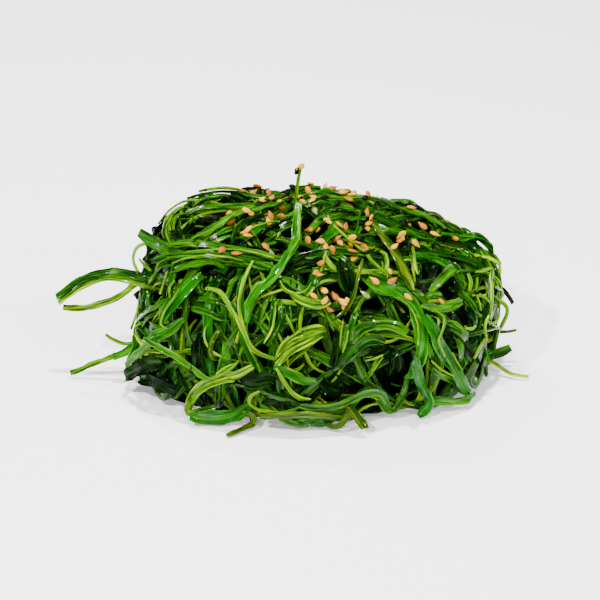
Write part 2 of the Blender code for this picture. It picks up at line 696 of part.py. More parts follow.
def rest_on(strip, trees):
    """Moves a strip out along its normals until it clears every tree by the gap between pieces."""
    high = 9 * MM
    for _ in range(2):
        needed = np.full(len(strip.points), -1.0)
        for share in np.linspace(-1.1, 1.1, 7):
            for forward in (-0.5, 0.0, 0.5):
                places = np.clip(np.arange(len(strip.points)) + forward, 0, len(strip.points) - 1)
                spots = at_places(strip.points, places) + strip.sides * (strip.half_widths * share)[:, None]
                for number, (spot, normal) in enumerate(zip(spots, strip.normals)):
                    for tree in trees:
                        hit = tree.ray_cast(Vector(spot + normal * high), Vector(-normal), high + 3 * MM)
                        if hit[3] is not None:
                            needed[number] = max(needed[number], high - hit[3])
        push = np.maximum(needed + PIECE_GAP + strip.half_thickness, 0.0)
        push = np.maximum(push, np.maximum(np.roll(push, 1), np.roll(push, -1)) * 0.8)
        strip.points = strip.points + strip.normals * push[:, None]
        strip.frame_again()
        kept_off_floor(strip)


def clear_ribbon(strip, trees):
    """The strip's mesh, with its sections nudged out wherever it still meets a tree."""
    for _ in range(MOST_NUDGES):
        room = ribbon_mesh(strip, PIECE_GAP / 2)
        own = tree_of(room)
        bpy.data.meshes.remove(room)
        met = {pair[0] for tree in trees for pair in own.overlap(tree)}
        if not met:
            return ribbon_mesh(strip)
        push = np.zeros(len(strip.points))
        for face in met:
            section = min(face // 8, len(push) - 2)
            push[max(section - 1, 0):section + 3] = np.maximum(push[max(section - 1, 0):section + 3], 0.5)
            push[section:section + 2] = 1.0
        strip.points = strip.points + strip.normals * (push * NUDGE)[:, None]
    raise RuntimeError(f"{strip.name} can't be laid clear of its neighbours")


def laid_pieces(strips, trees, collection):
    """The strips that lie loose on the heap, each its own piece and clear of those under it."""
    for strip in strips:
        few = resampled(strip, LAID_STEP)
        rest_on(few, trees)
        mesh = clear_ribbon(few, trees)
        trees.append(tree_of(mesh))
        shown(strip.name, mesh, strip.tone, collection)


def surface_place(trees, point):
    """The outermost surface in a point's direction, and its normal there."""
    direction = Vector(unit(point))
    hits = [tree.ray_cast(direction * 0.12, -direction) for tree in trees]
    hits = [hit for hit in hits if hit[0] is not None]
    nearest = min(hits, key=lambda hit: hit[3])
    return np.array(nearest[0]), np.array(nearest[1])


def seed_clump(name, tone, place, count, pile, trees, collection):
    """Seeds lying together, each touching one before it, as one body clear of the heap."""
    rng = random.Random(name)
    centre, _ = surface_place(trees, seen_point(pile, place[0] * MM, place[1] * MM))
    normal = unit(bed_normals(centre[None])[0] + 0.6 * UP)
    first = unit(np.cross(normal, (0.2, 0.9, 0.1)))
    second = np.cross(normal, first)
    spots = [np.zeros(3)]
    turns = [rng.uniform(0, math.pi)]
    while len(spots) < count:
        beside = rng.choice(spots)
        angle = rng.uniform(0, 2 * math.pi)
        step = SEED_SPACING * (SEED_SIZE[0] + SEED_SIZE[1]) / 2
        spot = beside + (first * math.cos(angle) + second * math.sin(angle)) * step
        if min(np.linalg.norm(spot - other) for other in spots) > 0.9 * step:
            spots.append(spot + normal * rng.uniform(-0.15, 0.15) * MM)
            turns.append(rng.uniform(0, math.pi))
    facings = [first * math.cos(turn) + second * math.sin(turn) for turn in turns]
    lift = 0.5 * MM
    while True:
        centres = [centre + spot + normal * lift for spot in spots]
        rooms = [seed_mesh(spot, facing, normal, ROOMY_SEED) for spot, facing in zip(centres, facings)]
        if not any(tree_of(room).overlap(tree) for room in rooms for tree in trees):
            break
        lift += NUDGE
    meshes = [seed_mesh(spot, facing, normal) for spot, facing in zip(centres, facings)]
    clump = fused(name, meshes, tone, collection, SEED_ROUGHNESS)
    trees.append(tree_of(clump.data))


def lone_seed_meshes(pile):
    """Single seeds scattered over the top of the heap, sunk a little into the strip they stick to."""
    rng = random.Random(SEED)
    meshes = []
    for _ in range(LONE_SEEDS):
        around = rng.uniform(0, 2 * math.pi)
        rise = rng.uniform(0.55, 1.0)
        level = math.sqrt(1 - rise**2)
        direction = np.array([level * math.cos(around), level * math.sin(around), rise])
        radius = bed_radius(direction[None])[0]
        top = pile.height((direction * radius)[None])[0]
        normal = bed_normals(direction[None])[0]
        along = unit(np.cross(normal, (rng.uniform(-1, 1), rng.uniform(-1, 1), rng.uniform(-1, 1))))
        meshes.append(seed_mesh(direction * (radius + top + 0.1 * MM), along, normal))
    return meshes


def strips_of_heap():
    """The pile with every strip laid: those fused to the core, the loose ones, and the pile under them."""
    pile = Pile()
    fill = [fill_strip(index) for index in range(FILL_COUNT)]
    for strip in fill[:-FUSED_FILL]:
        lay_on(pile, strip)
    buried = Pile()
    buried.heights = pile.heights.copy()
    for strip in fill[-FUSED_FILL:]:
        lay_on(pile, strip)
    level = pile.levelled()
    sprigs = [sprig(name, *sizes) for name, sizes in SPRIGS.items()]
    laid = [laid_strip(level, name, *sizes) for name, sizes in LAID_STRIPS.items()]
    return buried, pile, fill[-FUSED_FILL:], sprigs, laid


def clear_scene():
    """Removes whatever the scene holds."""
    for piece in list(bpy.data.objects):
        bpy.data.objects.remove(piece)


def centre_on_footprint(collection):
    """Moves the heap so that the middle of its footprint is the origin."""
    corners = np.array([vertex.co for piece in collection.objects for vertex in piece.data.vertices])
    middle = (corners.min(0) + corners.max(0)) / 2
    for piece in collection.objects:
        piece.location = (-middle[0], -middle[1], 0)


def build():
    """Builds the heap."""
    clear_scene()
    heap = bpy.data.collections.new("wakame_heap")
    bpy.context.scene.collection.children.link(heap)
    buried, pile, fill, sprigs, laid = strips_of_heap()
    meshes = [core_mesh(buried)]
    meshes += [ribbon_mesh(resampled(strip, FUSED_STEP)) for strip in fill + sprigs]
    meshes += lone_seed_meshes(pile)
    tangle = fused("tangle", meshes, "core", heap)
    trees = [tree_of(tangle.data)]
    laid_pieces(laid, trees, heap)
    for number, (across, up, count) in enumerate(TAN_CLUMPS):
        seed_clump(f"tan_sesame_{number + 1}", "tan_sesame", (across, up), count, pile, trees, heap)
    for number, (across, up, count) in enumerate(BLACK_CLUMPS):
        seed_clump(f"black_sesame_{number + 1}", "black_sesame", (across, up), count, pile, trees, heap)
    centre_on_footprint(heap)


build()
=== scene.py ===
"""The looks of a served heap of dressed wakame: wet shredded stems, blades and lime-green threads lying
tangled on each other, with tan and black sesame seeds on top.

The heap stands on z = 0, its front faces -Y and its width runs along X, in metres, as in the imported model.
The strips are laid one after another on a domed bed by the same rule as the model's solids, then swept to
fine ribbons by Geometry Nodes.
"""

from __future__ import annotations

import logging
import math
import random
from dataclasses import dataclass, field
from enum import Enum
from typing import Callable, Iterable, Sequence

import bmesh
import bpy
import numpy as np
from mathutils import Matrix, Vector
from mathutils.bvhtree import BVHTree

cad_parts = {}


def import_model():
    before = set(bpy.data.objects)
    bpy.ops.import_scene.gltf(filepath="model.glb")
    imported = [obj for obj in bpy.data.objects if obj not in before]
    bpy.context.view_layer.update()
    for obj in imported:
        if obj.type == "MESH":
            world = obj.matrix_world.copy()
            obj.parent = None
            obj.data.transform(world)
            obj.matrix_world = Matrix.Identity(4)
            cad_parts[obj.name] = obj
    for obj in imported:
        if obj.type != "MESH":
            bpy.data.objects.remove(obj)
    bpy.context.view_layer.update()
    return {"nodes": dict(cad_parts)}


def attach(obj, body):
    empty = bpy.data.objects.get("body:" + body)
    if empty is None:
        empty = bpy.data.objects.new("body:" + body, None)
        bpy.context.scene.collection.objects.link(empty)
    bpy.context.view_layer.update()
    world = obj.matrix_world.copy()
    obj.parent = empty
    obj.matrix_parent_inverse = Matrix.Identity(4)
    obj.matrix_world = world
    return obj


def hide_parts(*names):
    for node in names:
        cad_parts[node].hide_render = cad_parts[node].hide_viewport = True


LOG = logging.getLogger("wakame")
MM = 0.001
UP = np.array((0.0, 0.0, 1.0))
SEED = 4107
# From the middle of the heap's base, where its strips are drawn from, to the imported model's origin.
HEAP_SHIFT = np.array((5.5535 * MM, 2.3345 * MM, 0.0))

Array = np.ndarray
Route = Sequence[tuple[float, ...]]
Colour = tuple[float, float, float]
Rest = tuple[np.ndarray, np.ndarray]


def unit(vectors: Array) -> Array:
    """The vectors at length 1."""
    return vectors / np.maximum(np.linalg.norm(vectors, axis=-1, keepdims=True), 1e-12)


def at_places(values: Array, places: Array) -> Array:
    """Rows of values at fractional places along it.

    Args:
        values: one row for each point of a course.
        places: where to read, counted in points.

    Returns:
        One row for each place.
    """
    low = np.clip(np.floor(places).astype(int), 0, len(values) - 2)
    share = (places - low)[:, None]
    return values[low] * (1 - share) + values[low + 1] * share


def softened(values: Array, rounds: int) -> Array:
    """Values along a course, each averaged with its neighbours, the ends kept.

    Args:
        values: one row for each point.
        rounds: how many times over.

    Returns:
        As many rows.
    """
    for _ in range(rounds):
        inner = (values[:-2] + 2 * values[1:-1] + values[2:]) / 4
        values = np.concatenate((values[:1], inner, values[-1:]))
    return values


def evenly(course: Array, spacing: float) -> Array:
    """A course with its points about one spacing apart.

    Args:
        course: the points as they are.
        spacing: how far apart they should stand.

    Returns:
        The new points, at least three.
    """
    along = np.concatenate(((0,), np.cumsum(np.linalg.norm(np.diff(course, axis=0), axis=1))))
    count = max(3, round(along[-1] / spacing) + 1)
    wanted = np.linspace(0, along[-1], count)
    return np.stack([np.interp(wanted, along, column) for column in course.T], 1)


def rounded_through(corners: Array, steps: int) -> Array:
    """A Catmull-Rom curve through the corners.

    Args:
        corners: one row for each point that the curve passes, of any number of columns.
        steps: how many points the curve takes from each corner to the next.

    Returns:
        The curve's points, the last corner among them.
    """
    ends = np.vstack((2 * corners[0] - corners[1], corners, 2 * corners[-1] - corners[-2]))
    dense = []
    for p0, p1, p2, p3 in zip(ends, ends[1:], ends[2:], ends[3:]):
        for t in np.linspace(0, 1, steps, endpoint=False):
            dense.append(
                0.5 * (2 * p1 + (p2 - p0) * t + (2 * p0 - 5 * p1 + 4 * p2 - p3) * t**2
                       + (3 * p1 - p0 - 3 * p2 + p3) * t**3)
            )
    return np.array(dense + [corners[-1]])


def tapered(count: int, width: float, tip: float) -> Array:
    """Half widths along a strip that narrows at both ends.

    Args:
        count: how many points the strip has.
        width: its full width.
        tip: the share of the width that is left at the ends.

    Returns:
        One half width for each point.
    """
    places = np.linspace(0, 1, count)
    ends = np.clip(np.minimum(places, 1 - places) * 6, 0, 1)
    return width / 2 * (tip + (1 - tip) * np.sqrt(ends))


def linked(name: str, data: bpy.types.ID) -> bpy.types.Object:
    """A new object in the scene, at the origin.

    Args:
        name: its name.
        data: its mesh, light or camera.

    Returns:
        The object.
    """
    made = bpy.data.objects.new(name, data)
    bpy.context.scene.collection.objects.link(made)
    return made


class Tone(Enum):
    """The colour families of the strips."""

    GREEN = "stem_green"
    BRIGHT = "bright_blade"
    LIME = "lime_thread"
    OLIVE = "olive_strip"
    DARK = "dark_frond"


class Build(Enum):
    """How a strip is cut: what its cross-section and its edges are like."""

    STEM = "stem"
    BLADE = "blade"
    THREAD = "thread"
    FRILL = "frill"


# The share of their width that shows of the strips that curl in.
CURLED = {Build.BLADE: 0.68, Build.FRILL: 0.72}


@dataclass(frozen=True)
class Kind:
    """One kind of shredded strip, with ranges of its sizes in metres."""

    build: Build
    tone: Tone
    share: float
    width: tuple[float, float]
    thickness: float
    length: tuple[float, float]
    stray: float
    sweep: float
    sway: float
    twist: float


KINDS = (
    Kind(Build.STEM, Tone.GREEN, 0.36, (2.0 * MM, 3.0 * MM), 1.0 * MM, (45 * MM, 85 * MM), 0.5, 0.018, 0.045, 0.5),
    Kind(Build.BLADE, Tone.BRIGHT, 0.26, (3.4 * MM, 5.4 * MM), 0.7 * MM, (28 * MM, 55 * MM), 0.5, 0.018, 0.040, 0.4),
    Kind(Build.THREAD, Tone.LIME, 0.24, (0.9 * MM, 1.4 * MM), 0.8 * MM, (30 * MM, 70 * MM), 1.2, 0.035, 0.100, 0.8),
    Kind(Build.FRILL, Tone.DARK, 0.14, (3.6 * MM, 5.0 * MM), 0.8 * MM, (16 * MM, 26 * MM), 1.2, 0.030, 0.060, 0.7),
)

# Thin shreds that only show: they lie over the strips above, and curl more.
LOOSE_KINDS = (
    Kind(Build.THREAD, Tone.LIME, 0.34, (0.7 * MM, 1.2 * MM), 0.7 * MM, (18 * MM, 48 * MM), 1.3, 0.05, 0.20, 1.0),
    Kind(Build.STEM, Tone.GREEN, 0.30, (1.3 * MM, 2.3 * MM), 1.0 * MM, (22 * MM, 50 * MM), 1.0, 0.04, 0.13, 0.9),
    Kind(Build.STEM, Tone.OLIVE, 0.12, (1.0 * MM, 1.8 * MM), 0.9 * MM, (18 * MM, 40 * MM), 1.1, 0.04, 0.15, 0.9),
    Kind(Build.BLADE, Tone.BRIGHT, 0.12, (1.8 * MM, 2.8 * MM), 0.7 * MM, (16 * MM, 34 * MM), 0.9, 0.04, 0.12, 0.9),
    Kind(Build.FRILL, Tone.DARK, 0.12, (2.0 * MM, 3.4 * MM), 0.8 * MM, (12 * MM, 26 * MM), 1.2, 0.04, 0.12, 0.9),
)


@dataclass
class Strip:
    """A ribbon's course: points, outward normals and half widths at each, and its half thickness."""

    name: str
    build: Build
    tone: Tone
    points: Array
    normals: Array
    half_widths: Array
    half_thickness: float
    weave: tuple[float, float, float] = (0.0, 0.0, 0.0)
    dives: tuple[float, float] = (0.0, 0.0)
    # How much of the strip's own colour shows; below 1 its material mixes in painted shade, for strips buried in the
    # heap.
    shade: float = 1.0
    sides: Array = field(init=False)

    def __post_init__(self) -> None:
        """Works out the direction across the ribbon."""
        self.frame_again()

    def frame_again(self) -> None:
        """Squares the normals with the course, and works out the direction across the ribbon."""
        tangents = unit(np.gradient(self.points, axis=0))
        across = (self.normals * tangents).sum(1)[:, None]
        self.normals = unit(self.normals - tangents * across)
        self.sides = np.cross(tangents, self.normals)

    def keep_off_floor(self, gap: float) -> None:
        """Lifts what lies lower than a gap above the floor."""
        reach = np.abs(self.sides[:, 2]) * self.half_widths + np.abs(self.normals[:, 2]) * self.half_thickness
        self.points[:, 2] = np.maximum(self.points[:, 2], reach + gap)

    def finer(self, spacing: float) -> "Strip":
        """The strip on a smooth curve.

        Args:
            spacing: how far apart its points stand, about.

        Returns:
            A new strip.
        """
        rows = np.hstack((self.points, self.normals, self.half_widths[:, None]))
        dense = rounded_through(rows, 6)
        along = np.concatenate(((0,), np.cumsum(np.linalg.norm(np.diff(dense[:, :3], axis=0), axis=1))))
        count = max(6, round(along[-1] / spacing) + 1)
        wanted = np.linspace(0, along[-1], count)
        rows = np.stack([np.interp(wanted, along, column) for column in dense.T], 1)
        return Strip(
            self.name, self.build, self.tone, rows[:, :3], unit(rows[:, 3:6]), rows[:, 6], self.half_thickness,
            shade=self.shade,
        )


@dataclass(frozen=True)
class Bed:
    """The domed bed that the strips lie on, and which way they run over it."""

    half_width: float = 43.0 * MM
    half_depth: float = 37.5 * MM
    height: float = 35.5 * MM
    plan_power: float = 2.3
    side_power: float = 3.6
    # Swellings and dips: direction from the middle of the base, share of the radius, spread.
    lumps: tuple = (
        ((-0.58, 0.05, 0.80), 0.07, 0.26),
        ((-0.92, 0.00, 0.40), -0.05, 0.30),
        ((0.45, 0.00, 0.89), -0.07, 0.34),
        ((0.08, 0.12, 0.98), 0.10, 0.24),
        ((0.86, 0.00, 0.50), 0.06, 0.26),
        ((0.10, 0.75, 0.60), -0.06, 0.45),
        ((-0.86, -0.50, 0.10), 0.09, 0.26),
        ((-0.15, -0.98, 0.15), 0.02, 0.35),
        ((0.45, -0.88, 0.10), -0.06, 0.22),
    )
    # Which way the strips mostly run: places on the bed, and the run there.
    grain: tuple = (
        ((-0.60, -0.30, 0.75), (1.0, 0.0, -0.25)),
        ((-0.80, -0.50, 0.20), (0.7, -0.2, -0.6)),
        ((0.00, -0.90, 0.40), (0.35, 0.0, -1.0)),
        ((0.30, -0.90, 0.10), (-0.8, 0.0, -0.5)),
        ((0.60, -0.50, 0.60), (0.8, -0.2, -0.6)),
        ((0.90, -0.30, 0.30), (-0.3, 0.0, -1.0)),
        ((0.00, 0.00, 1.00), (1.0, 0.4, 0.0)),
        ((0.00, 0.90, 0.40), (-0.4, 0.0, -1.0)),
        ((-0.70, 0.70, 0.30), (0.5, 0.5, -0.8)),
        ((0.70, 0.70, 0.30), (0.6, -0.6, -0.6)),
    )
    grain_spread: float = 0.45

    def radius(self, directions: Array) -> Array:
        """How far the bed is from the middle of the base.

        Args:
            directions: unit vectors, in rows.

        Returns:
            The distance in each direction.
        """
        x, y, z = np.abs(directions).T
        plan = (x / self.half_width) ** self.plan_power + (y / self.half_depth) ** self.plan_power
        side = (z / self.height) ** self.side_power
        radius = (plan ** (self.side_power / self.plan_power) + side) ** (-1 / self.side_power)
        for place, share, spread in self.lumps:
            away = ((directions - unit(np.array(place))) ** 2).sum(-1)
            radius = radius * (1 + share * np.exp(-away / spread**2))
        return radius

    def under(self, points: Array) -> Array:
        """The points moved in or out along their own direction onto the bed."""
        directions = unit(points)
        return directions * self.radius(directions)[..., None]

    def normals(self, points: Array) -> Array:
        """Outward unit normals of the bed.

        Args:
            points: places over or under it, in rows.

        Returns:
            The normal of the bed in each point's direction.
        """
        directions = unit(points)
        first = unit(np.cross(directions, np.where(np.abs(directions[:, :1]) < 0.8, (1, 0, 0), (0, 1, 0))))
        second = np.cross(directions, first)
        small = 0.02
        slopes = [
            self.under(directions + small * axis) - self.under(directions - small * axis)
            for axis in (first, second)
        ]
        return unit(np.cross(slopes[0], slopes[1]))

    def run(self, points: Array) -> Array:
        """Which way the strips mostly run.

        Args:
            points: places over or under the bed, in rows.

        Returns:
            A unit vector along the bed for each point.
        """
        directions = unit(points)
        run = np.zeros_like(directions)
        for place, way in self.grain:
            away = ((directions - unit(np.array(place))) ** 2).sum(-1)
            run = run + np.exp(-away / self.grain_spread**2)[..., None] * unit(np.array(way))
        normals = self.normals(points)
        return unit(run - normals * (run * normals).sum(-1)[..., None])


@dataclass
class Pile:
    """How high the strips laid so far stand above the bed, on a flat disc of directions: the top of the
    heap is the middle of the disc and the level of the floor is near its rim."""

    bed: Bed
    cells: int = 270
    reach: float = 1.25
    bridged_cells: int = 6
    heights: Array = field(init=False)

    def __post_init__(self) -> None:
        """Starts with nothing on the bed."""
        self.heights = np.zeros((self.cells, self.cells))

    def cell_of(self, points: Array) -> tuple[Array, Array]:
        """Which cells the points are over.

        Args:
            points: places over or under the bed.

        Returns:
            The cells' rows and columns.
        """
        directions = unit(points)
        polar = np.arccos(np.clip(directions[..., 2], -1, 1)) / (math.pi / 2)
        around = np.arctan2(directions[..., 1], directions[..., 0])
        spots = np.stack((polar * np.cos(around), polar * np.sin(around)), -1)
        cells = np.floor((spots / self.reach + 1) / 2 * self.cells).astype(int)
        cells = np.clip(cells, 0, self.cells - 1)
        return cells[..., 0], cells[..., 1]

    def height(self, points: Array) -> Array:
        """Height of the pile above the bed in each point's direction."""
        return self.heights[self.cell_of(points)]

    def under(self, strip: Strip) -> Array:
        """How high the pile stands under a strip.

        Args:
            strip: the strip, on the bed.

        Returns:
            The highest across the strip's width at each of its points.
        """
        shares = np.linspace(-1, 1, 5)[:, None, None]
        spread = strip.points + strip.sides * (strip.half_widths[:, None] * shares)
        return self.height(spread).max(0)

    def add(self, strip: Strip) -> None:
        """Raises the pile to the top of a strip.

        Args:
            strip: the strip, where it lies.
        """
        fine = np.linspace(0, len(strip.points) - 1, 5 * len(strip.points))
        points = at_places(strip.points, fine)
        sides = at_places(strip.sides, fine)
        half_widths = at_places(strip.half_widths[:, None], fine)
        normals = at_places(strip.normals, fine)
        for share in np.linspace(-1, 1, 9):
            spots = points + sides * half_widths * share + normals * strip.half_thickness
            tops = np.linalg.norm(spots, axis=1) - self.bed.radius(unit(spots))
            np.maximum.at(self.heights, self.cell_of(spots), tops)

    def levelled(self) -> "Pile":
        """The pile as a strip laid across it meets it.

        Returns:
            Another pile, its narrow gaps bridged and its steps softened.
        """
        heights = self.heights
        for _ in range(self.bridged_cells):
            heights = self.joined(heights, np.maximum)
        for _ in range(self.bridged_cells - 2):
            heights = self.joined(heights, np.minimum)
        for _ in range(3):
            heights = self.joined(heights, np.add) / 5
        level = Pile(self.bed)
        level.heights = heights
        return level

    @staticmethod
    def joined(heights: Array, join: Callable[[Array, Array], Array]) -> Array:
        """Each cell joined with its four neighbours.

        Args:
            heights: the cells.
            join: takes the larger, the smaller or the sum of two grids of cells.

        Returns:
            The new cells.
        """
        padded = np.pad(heights, 1, mode="edge")
        found = heights
        for near in (padded[2:, 1:-1], padded[:-2, 1:-1], padded[1:-1, 2:], padded[1:-1, :-2]):
            found = join(found, near)
        return found


@dataclass
class Tangle:
    """The wandering strips of the heap, laid one on another."""

    bed: Bed
    count: int = 230
    loose: int = 110
    hidden: int = 30
    deepest: int = 140
    step: float = 2.5 * MM
    floor_gap: float = 0.4 * MM
    spread: tuple[float, float] = (0.7548776662, 0.5698402910)

    def course(self, rng: random.Random, index: int, length: float, kind: Kind) -> Array:
        """A course that wanders over the bed.

        Args:
            rng: what its turns are drawn from.
            index: the strip's number, by which the starts are spread evenly.
            length: how long it is.
            kind: how much it strays from the run of the strips, and sways.

        Returns:
            Its points on the bed.
        """
        bed = self.bed
        around = 2 * math.pi * (index * self.spread[0] % 1)
        rise = 0.04 + 0.96 * (index * self.spread[1] % 1)
        level = math.sqrt(1 - rise**2)
        point = bed.under(np.array([[level * math.cos(around), level * math.sin(around), rise]]))
        normal = bed.normals(point)
        along = bed.run(point)
        heading = rng.gauss(0, kind.stray) + rng.choice((0.0, math.pi))
        tangent = along * math.cos(heading) + np.cross(normal, along) * math.sin(heading)
        sweep = rng.gauss(0, kind.sweep)
        sway = rng.uniform(0.3, 1.0) * kind.sway
        phase = rng.uniform(0, 2 * math.pi)
        sway_length = rng.uniform(18, 34)
        course = [point[0]]
        for stride in range(round(length / self.step)):
            travelled = stride * self.step / MM
            turn = self.step / MM * (sweep + sway * math.sin(2 * math.pi * travelled / sway_length + phase))
            tangent = tangent * math.cos(turn) + np.cross(normal, tangent) * math.sin(turn)
            point = bed.under(point + tangent * self.step)
            if point[0, 2] < 1.5 * MM:
                point[0, 2] = 1.5 * MM
                tangent[0, 2] = abs(tangent[0, 2]) + 0.15
            normal = bed.normals(point)
            tangent = unit(tangent - normal * (tangent * normal).sum())
            course.append(point[0])
        return np.array(course)

    def strip(self, index: int) -> Strip:
        """One strip of the tangle, on the bed.

        Args:
            index: its number, which gives the same strip each time.

        Returns:
            The strip.
        """
        rng = random.Random(SEED * 1000 + index)
        kinds = KINDS if index < self.count else LOOSE_KINDS
        kind = rng.choices(kinds, [kind.share for kind in kinds])[0]
        width = rng.uniform(*kind.width)
        course = self.course(rng, index, rng.uniform(*kind.length), kind)
        count = len(course)
        strip = Strip(
            f"{kind.build.value}_{index}", kind.build, kind.tone, course, self.bed.normals(course),
            tapered(count, width, 0.55), kind.thickness / 2,
        )
        twist = rng.gauss(0, kind.twist) + np.linspace(0, rng.gauss(0, kind.twist * 1.6), count)
        strip.normals = strip.normals * np.cos(twist)[:, None] + strip.sides * np.sin(twist)[:, None]
        strip.frame_again()
        strip.weave = (rng.uniform(0.2, 1.0) * MM, rng.uniform(0.25, 0.5), rng.uniform(0, 2 * math.pi))
        strip.dives = (rng.uniform(0.0, 3.0) * MM, rng.uniform(0.0, 3.0) * MM)
        # Painted shade: the deeper in the heap a fill strip is laid, the darker its colour is painted.
        strip.shade = min(0.72, 0.12 + 0.60 * index / self.deepest)
        return strip

    @staticmethod
    def curled(strip: Strip) -> Strip:
        """The strip with its broad blade curled in, as it shows."""
        strip.half_widths = strip.half_widths * CURLED.get(strip.build, 1.0)
        return strip

    def lay_on(self, pile: Pile, strip: Strip) -> None:
        """Lifts a strip of the bed onto the pile under it, its ends tucked in, and adds it to the pile.

        Args:
            pile: the strips laid so far.
            strip: the strip to lay.
        """
        under = pile.under(strip)
        bridged = np.maximum(under, np.maximum(np.roll(under, 1), np.roll(under, -1)))
        places = np.arange(len(under))
        height, pace, phase = strip.weave
        lift = 0.7 * softened(bridged, 4) + 0.2 * softened(under, 6) + strip.half_thickness
        lift = lift + height * np.sin(places * pace + phase)
        first, last = strip.dives
        lift = lift - first * np.exp(-places / 2.5) - last * np.exp(-places[::-1] / 2.5)
        strip.points = strip.points + unit(strip.points) * np.maximum(lift, 0.0)[:, None]
        for axis in range(3):
            strip.points[:, axis] = softened(strip.points[:, axis], 2)
        strip.frame_again()
        strip.keep_off_floor(self.floor_gap)
        pile.add(strip)

    def lay(self, pile: Pile) -> list[Strip]:
        """Lays the strips that the heap is made of.

        Args:
            pile: what they are laid on, and added to.

        Returns:
            Those that show.
        """
        strips = [self.strip(index) for index in range(self.count)]
        for strip in strips:
            self.lay_on(pile, strip)
        return [self.curled(strip) for strip in strips[self.hidden:]]

    def lay_loose(self, pile: Pile) -> list[Strip]:
        """Lays the thin shreds, most of them over the heap's top, its back and its ends.

        Args:
            pile: what they are laid on, and added to.

        Returns:
            The shreds.
        """
        strips = [self.strip(index) for index in range(self.count, self.count + self.loose)]
        strips = [strip for number, strip in enumerate(strips) if number % 4 == 0 or strip.points[:, 1].mean() > 0]
        for strip in strips:
            height, pace, phase = strip.weave
            strip.weave = (height * 2.2, pace * 1.3, phase)
            self.lay_on(pile, strip)
        return strips


@dataclass(frozen=True)
class FrontView:
    """The view in which the visible strips are drawn, which is the camera's."""

    rise: float = math.radians(25.0)
    distance: float = 0.62
    aim: tuple[float, float] = (-3.2 * MM, 15.2 * MM)
    frame_width: float = 0.160
    floor_gap: float = 0.4 * MM

    @property
    def sight(self) -> Array:
        """The direction in which the camera looks."""
        return np.array((0.0, math.cos(self.rise), -math.sin(self.rise)))

    @property
    def above(self) -> Array:
        """The direction that is up in the picture."""
        return np.array((0.0, math.sin(self.rise), math.cos(self.rise)))

    @property
    def eye(self) -> Array:
        """Where the camera stands, from the middle of the heap's base."""
        return np.array((self.aim[0], 0.0, 0.0)) + self.above * self.aim[1] - self.sight * self.distance

    def ray(self, across: float, up: float) -> Array:
        """The direction in which the eye sees a spot of the picture plane."""
        return unit(np.array((across, 0.0, 0.0)) + up * self.above - self.eye)

    def sighting(self, pile: Pile, across: float, up: float) -> tuple[float, bool]:
        """How far away a spot of the view is.

        Args:
            pile: the pile that the line of sight meets.
            across: the spot's place across the picture plane, in metres.
            up: its place up the picture plane.

        Returns:
            The distance to the pile, or to the floor before it, and whether it is the floor. A line that
            misses the heap gives the distance where it passes nearest.
        """
        travel = np.arange(self.distance - 75 * MM, self.distance + 90 * MM, 0.4 * MM)
        spots = self.eye + self.ray(across, up) * travel[:, None]
        outside = np.linalg.norm(spots, axis=1) - pile.bed.radius(unit(spots)) - pile.height(spots)
        standing = spots[:, 2] > self.floor_gap
        inside = np.flatnonzero((outside < 0) & standing)
        if len(inside):
            return travel[inside[0]], False
        nearest = np.argmin(np.where(standing, outside, 1.0))
        landed = np.argmin(standing)
        if not standing[landed] and nearest > landed - 8:
            return travel[landed], True
        return travel[nearest], False


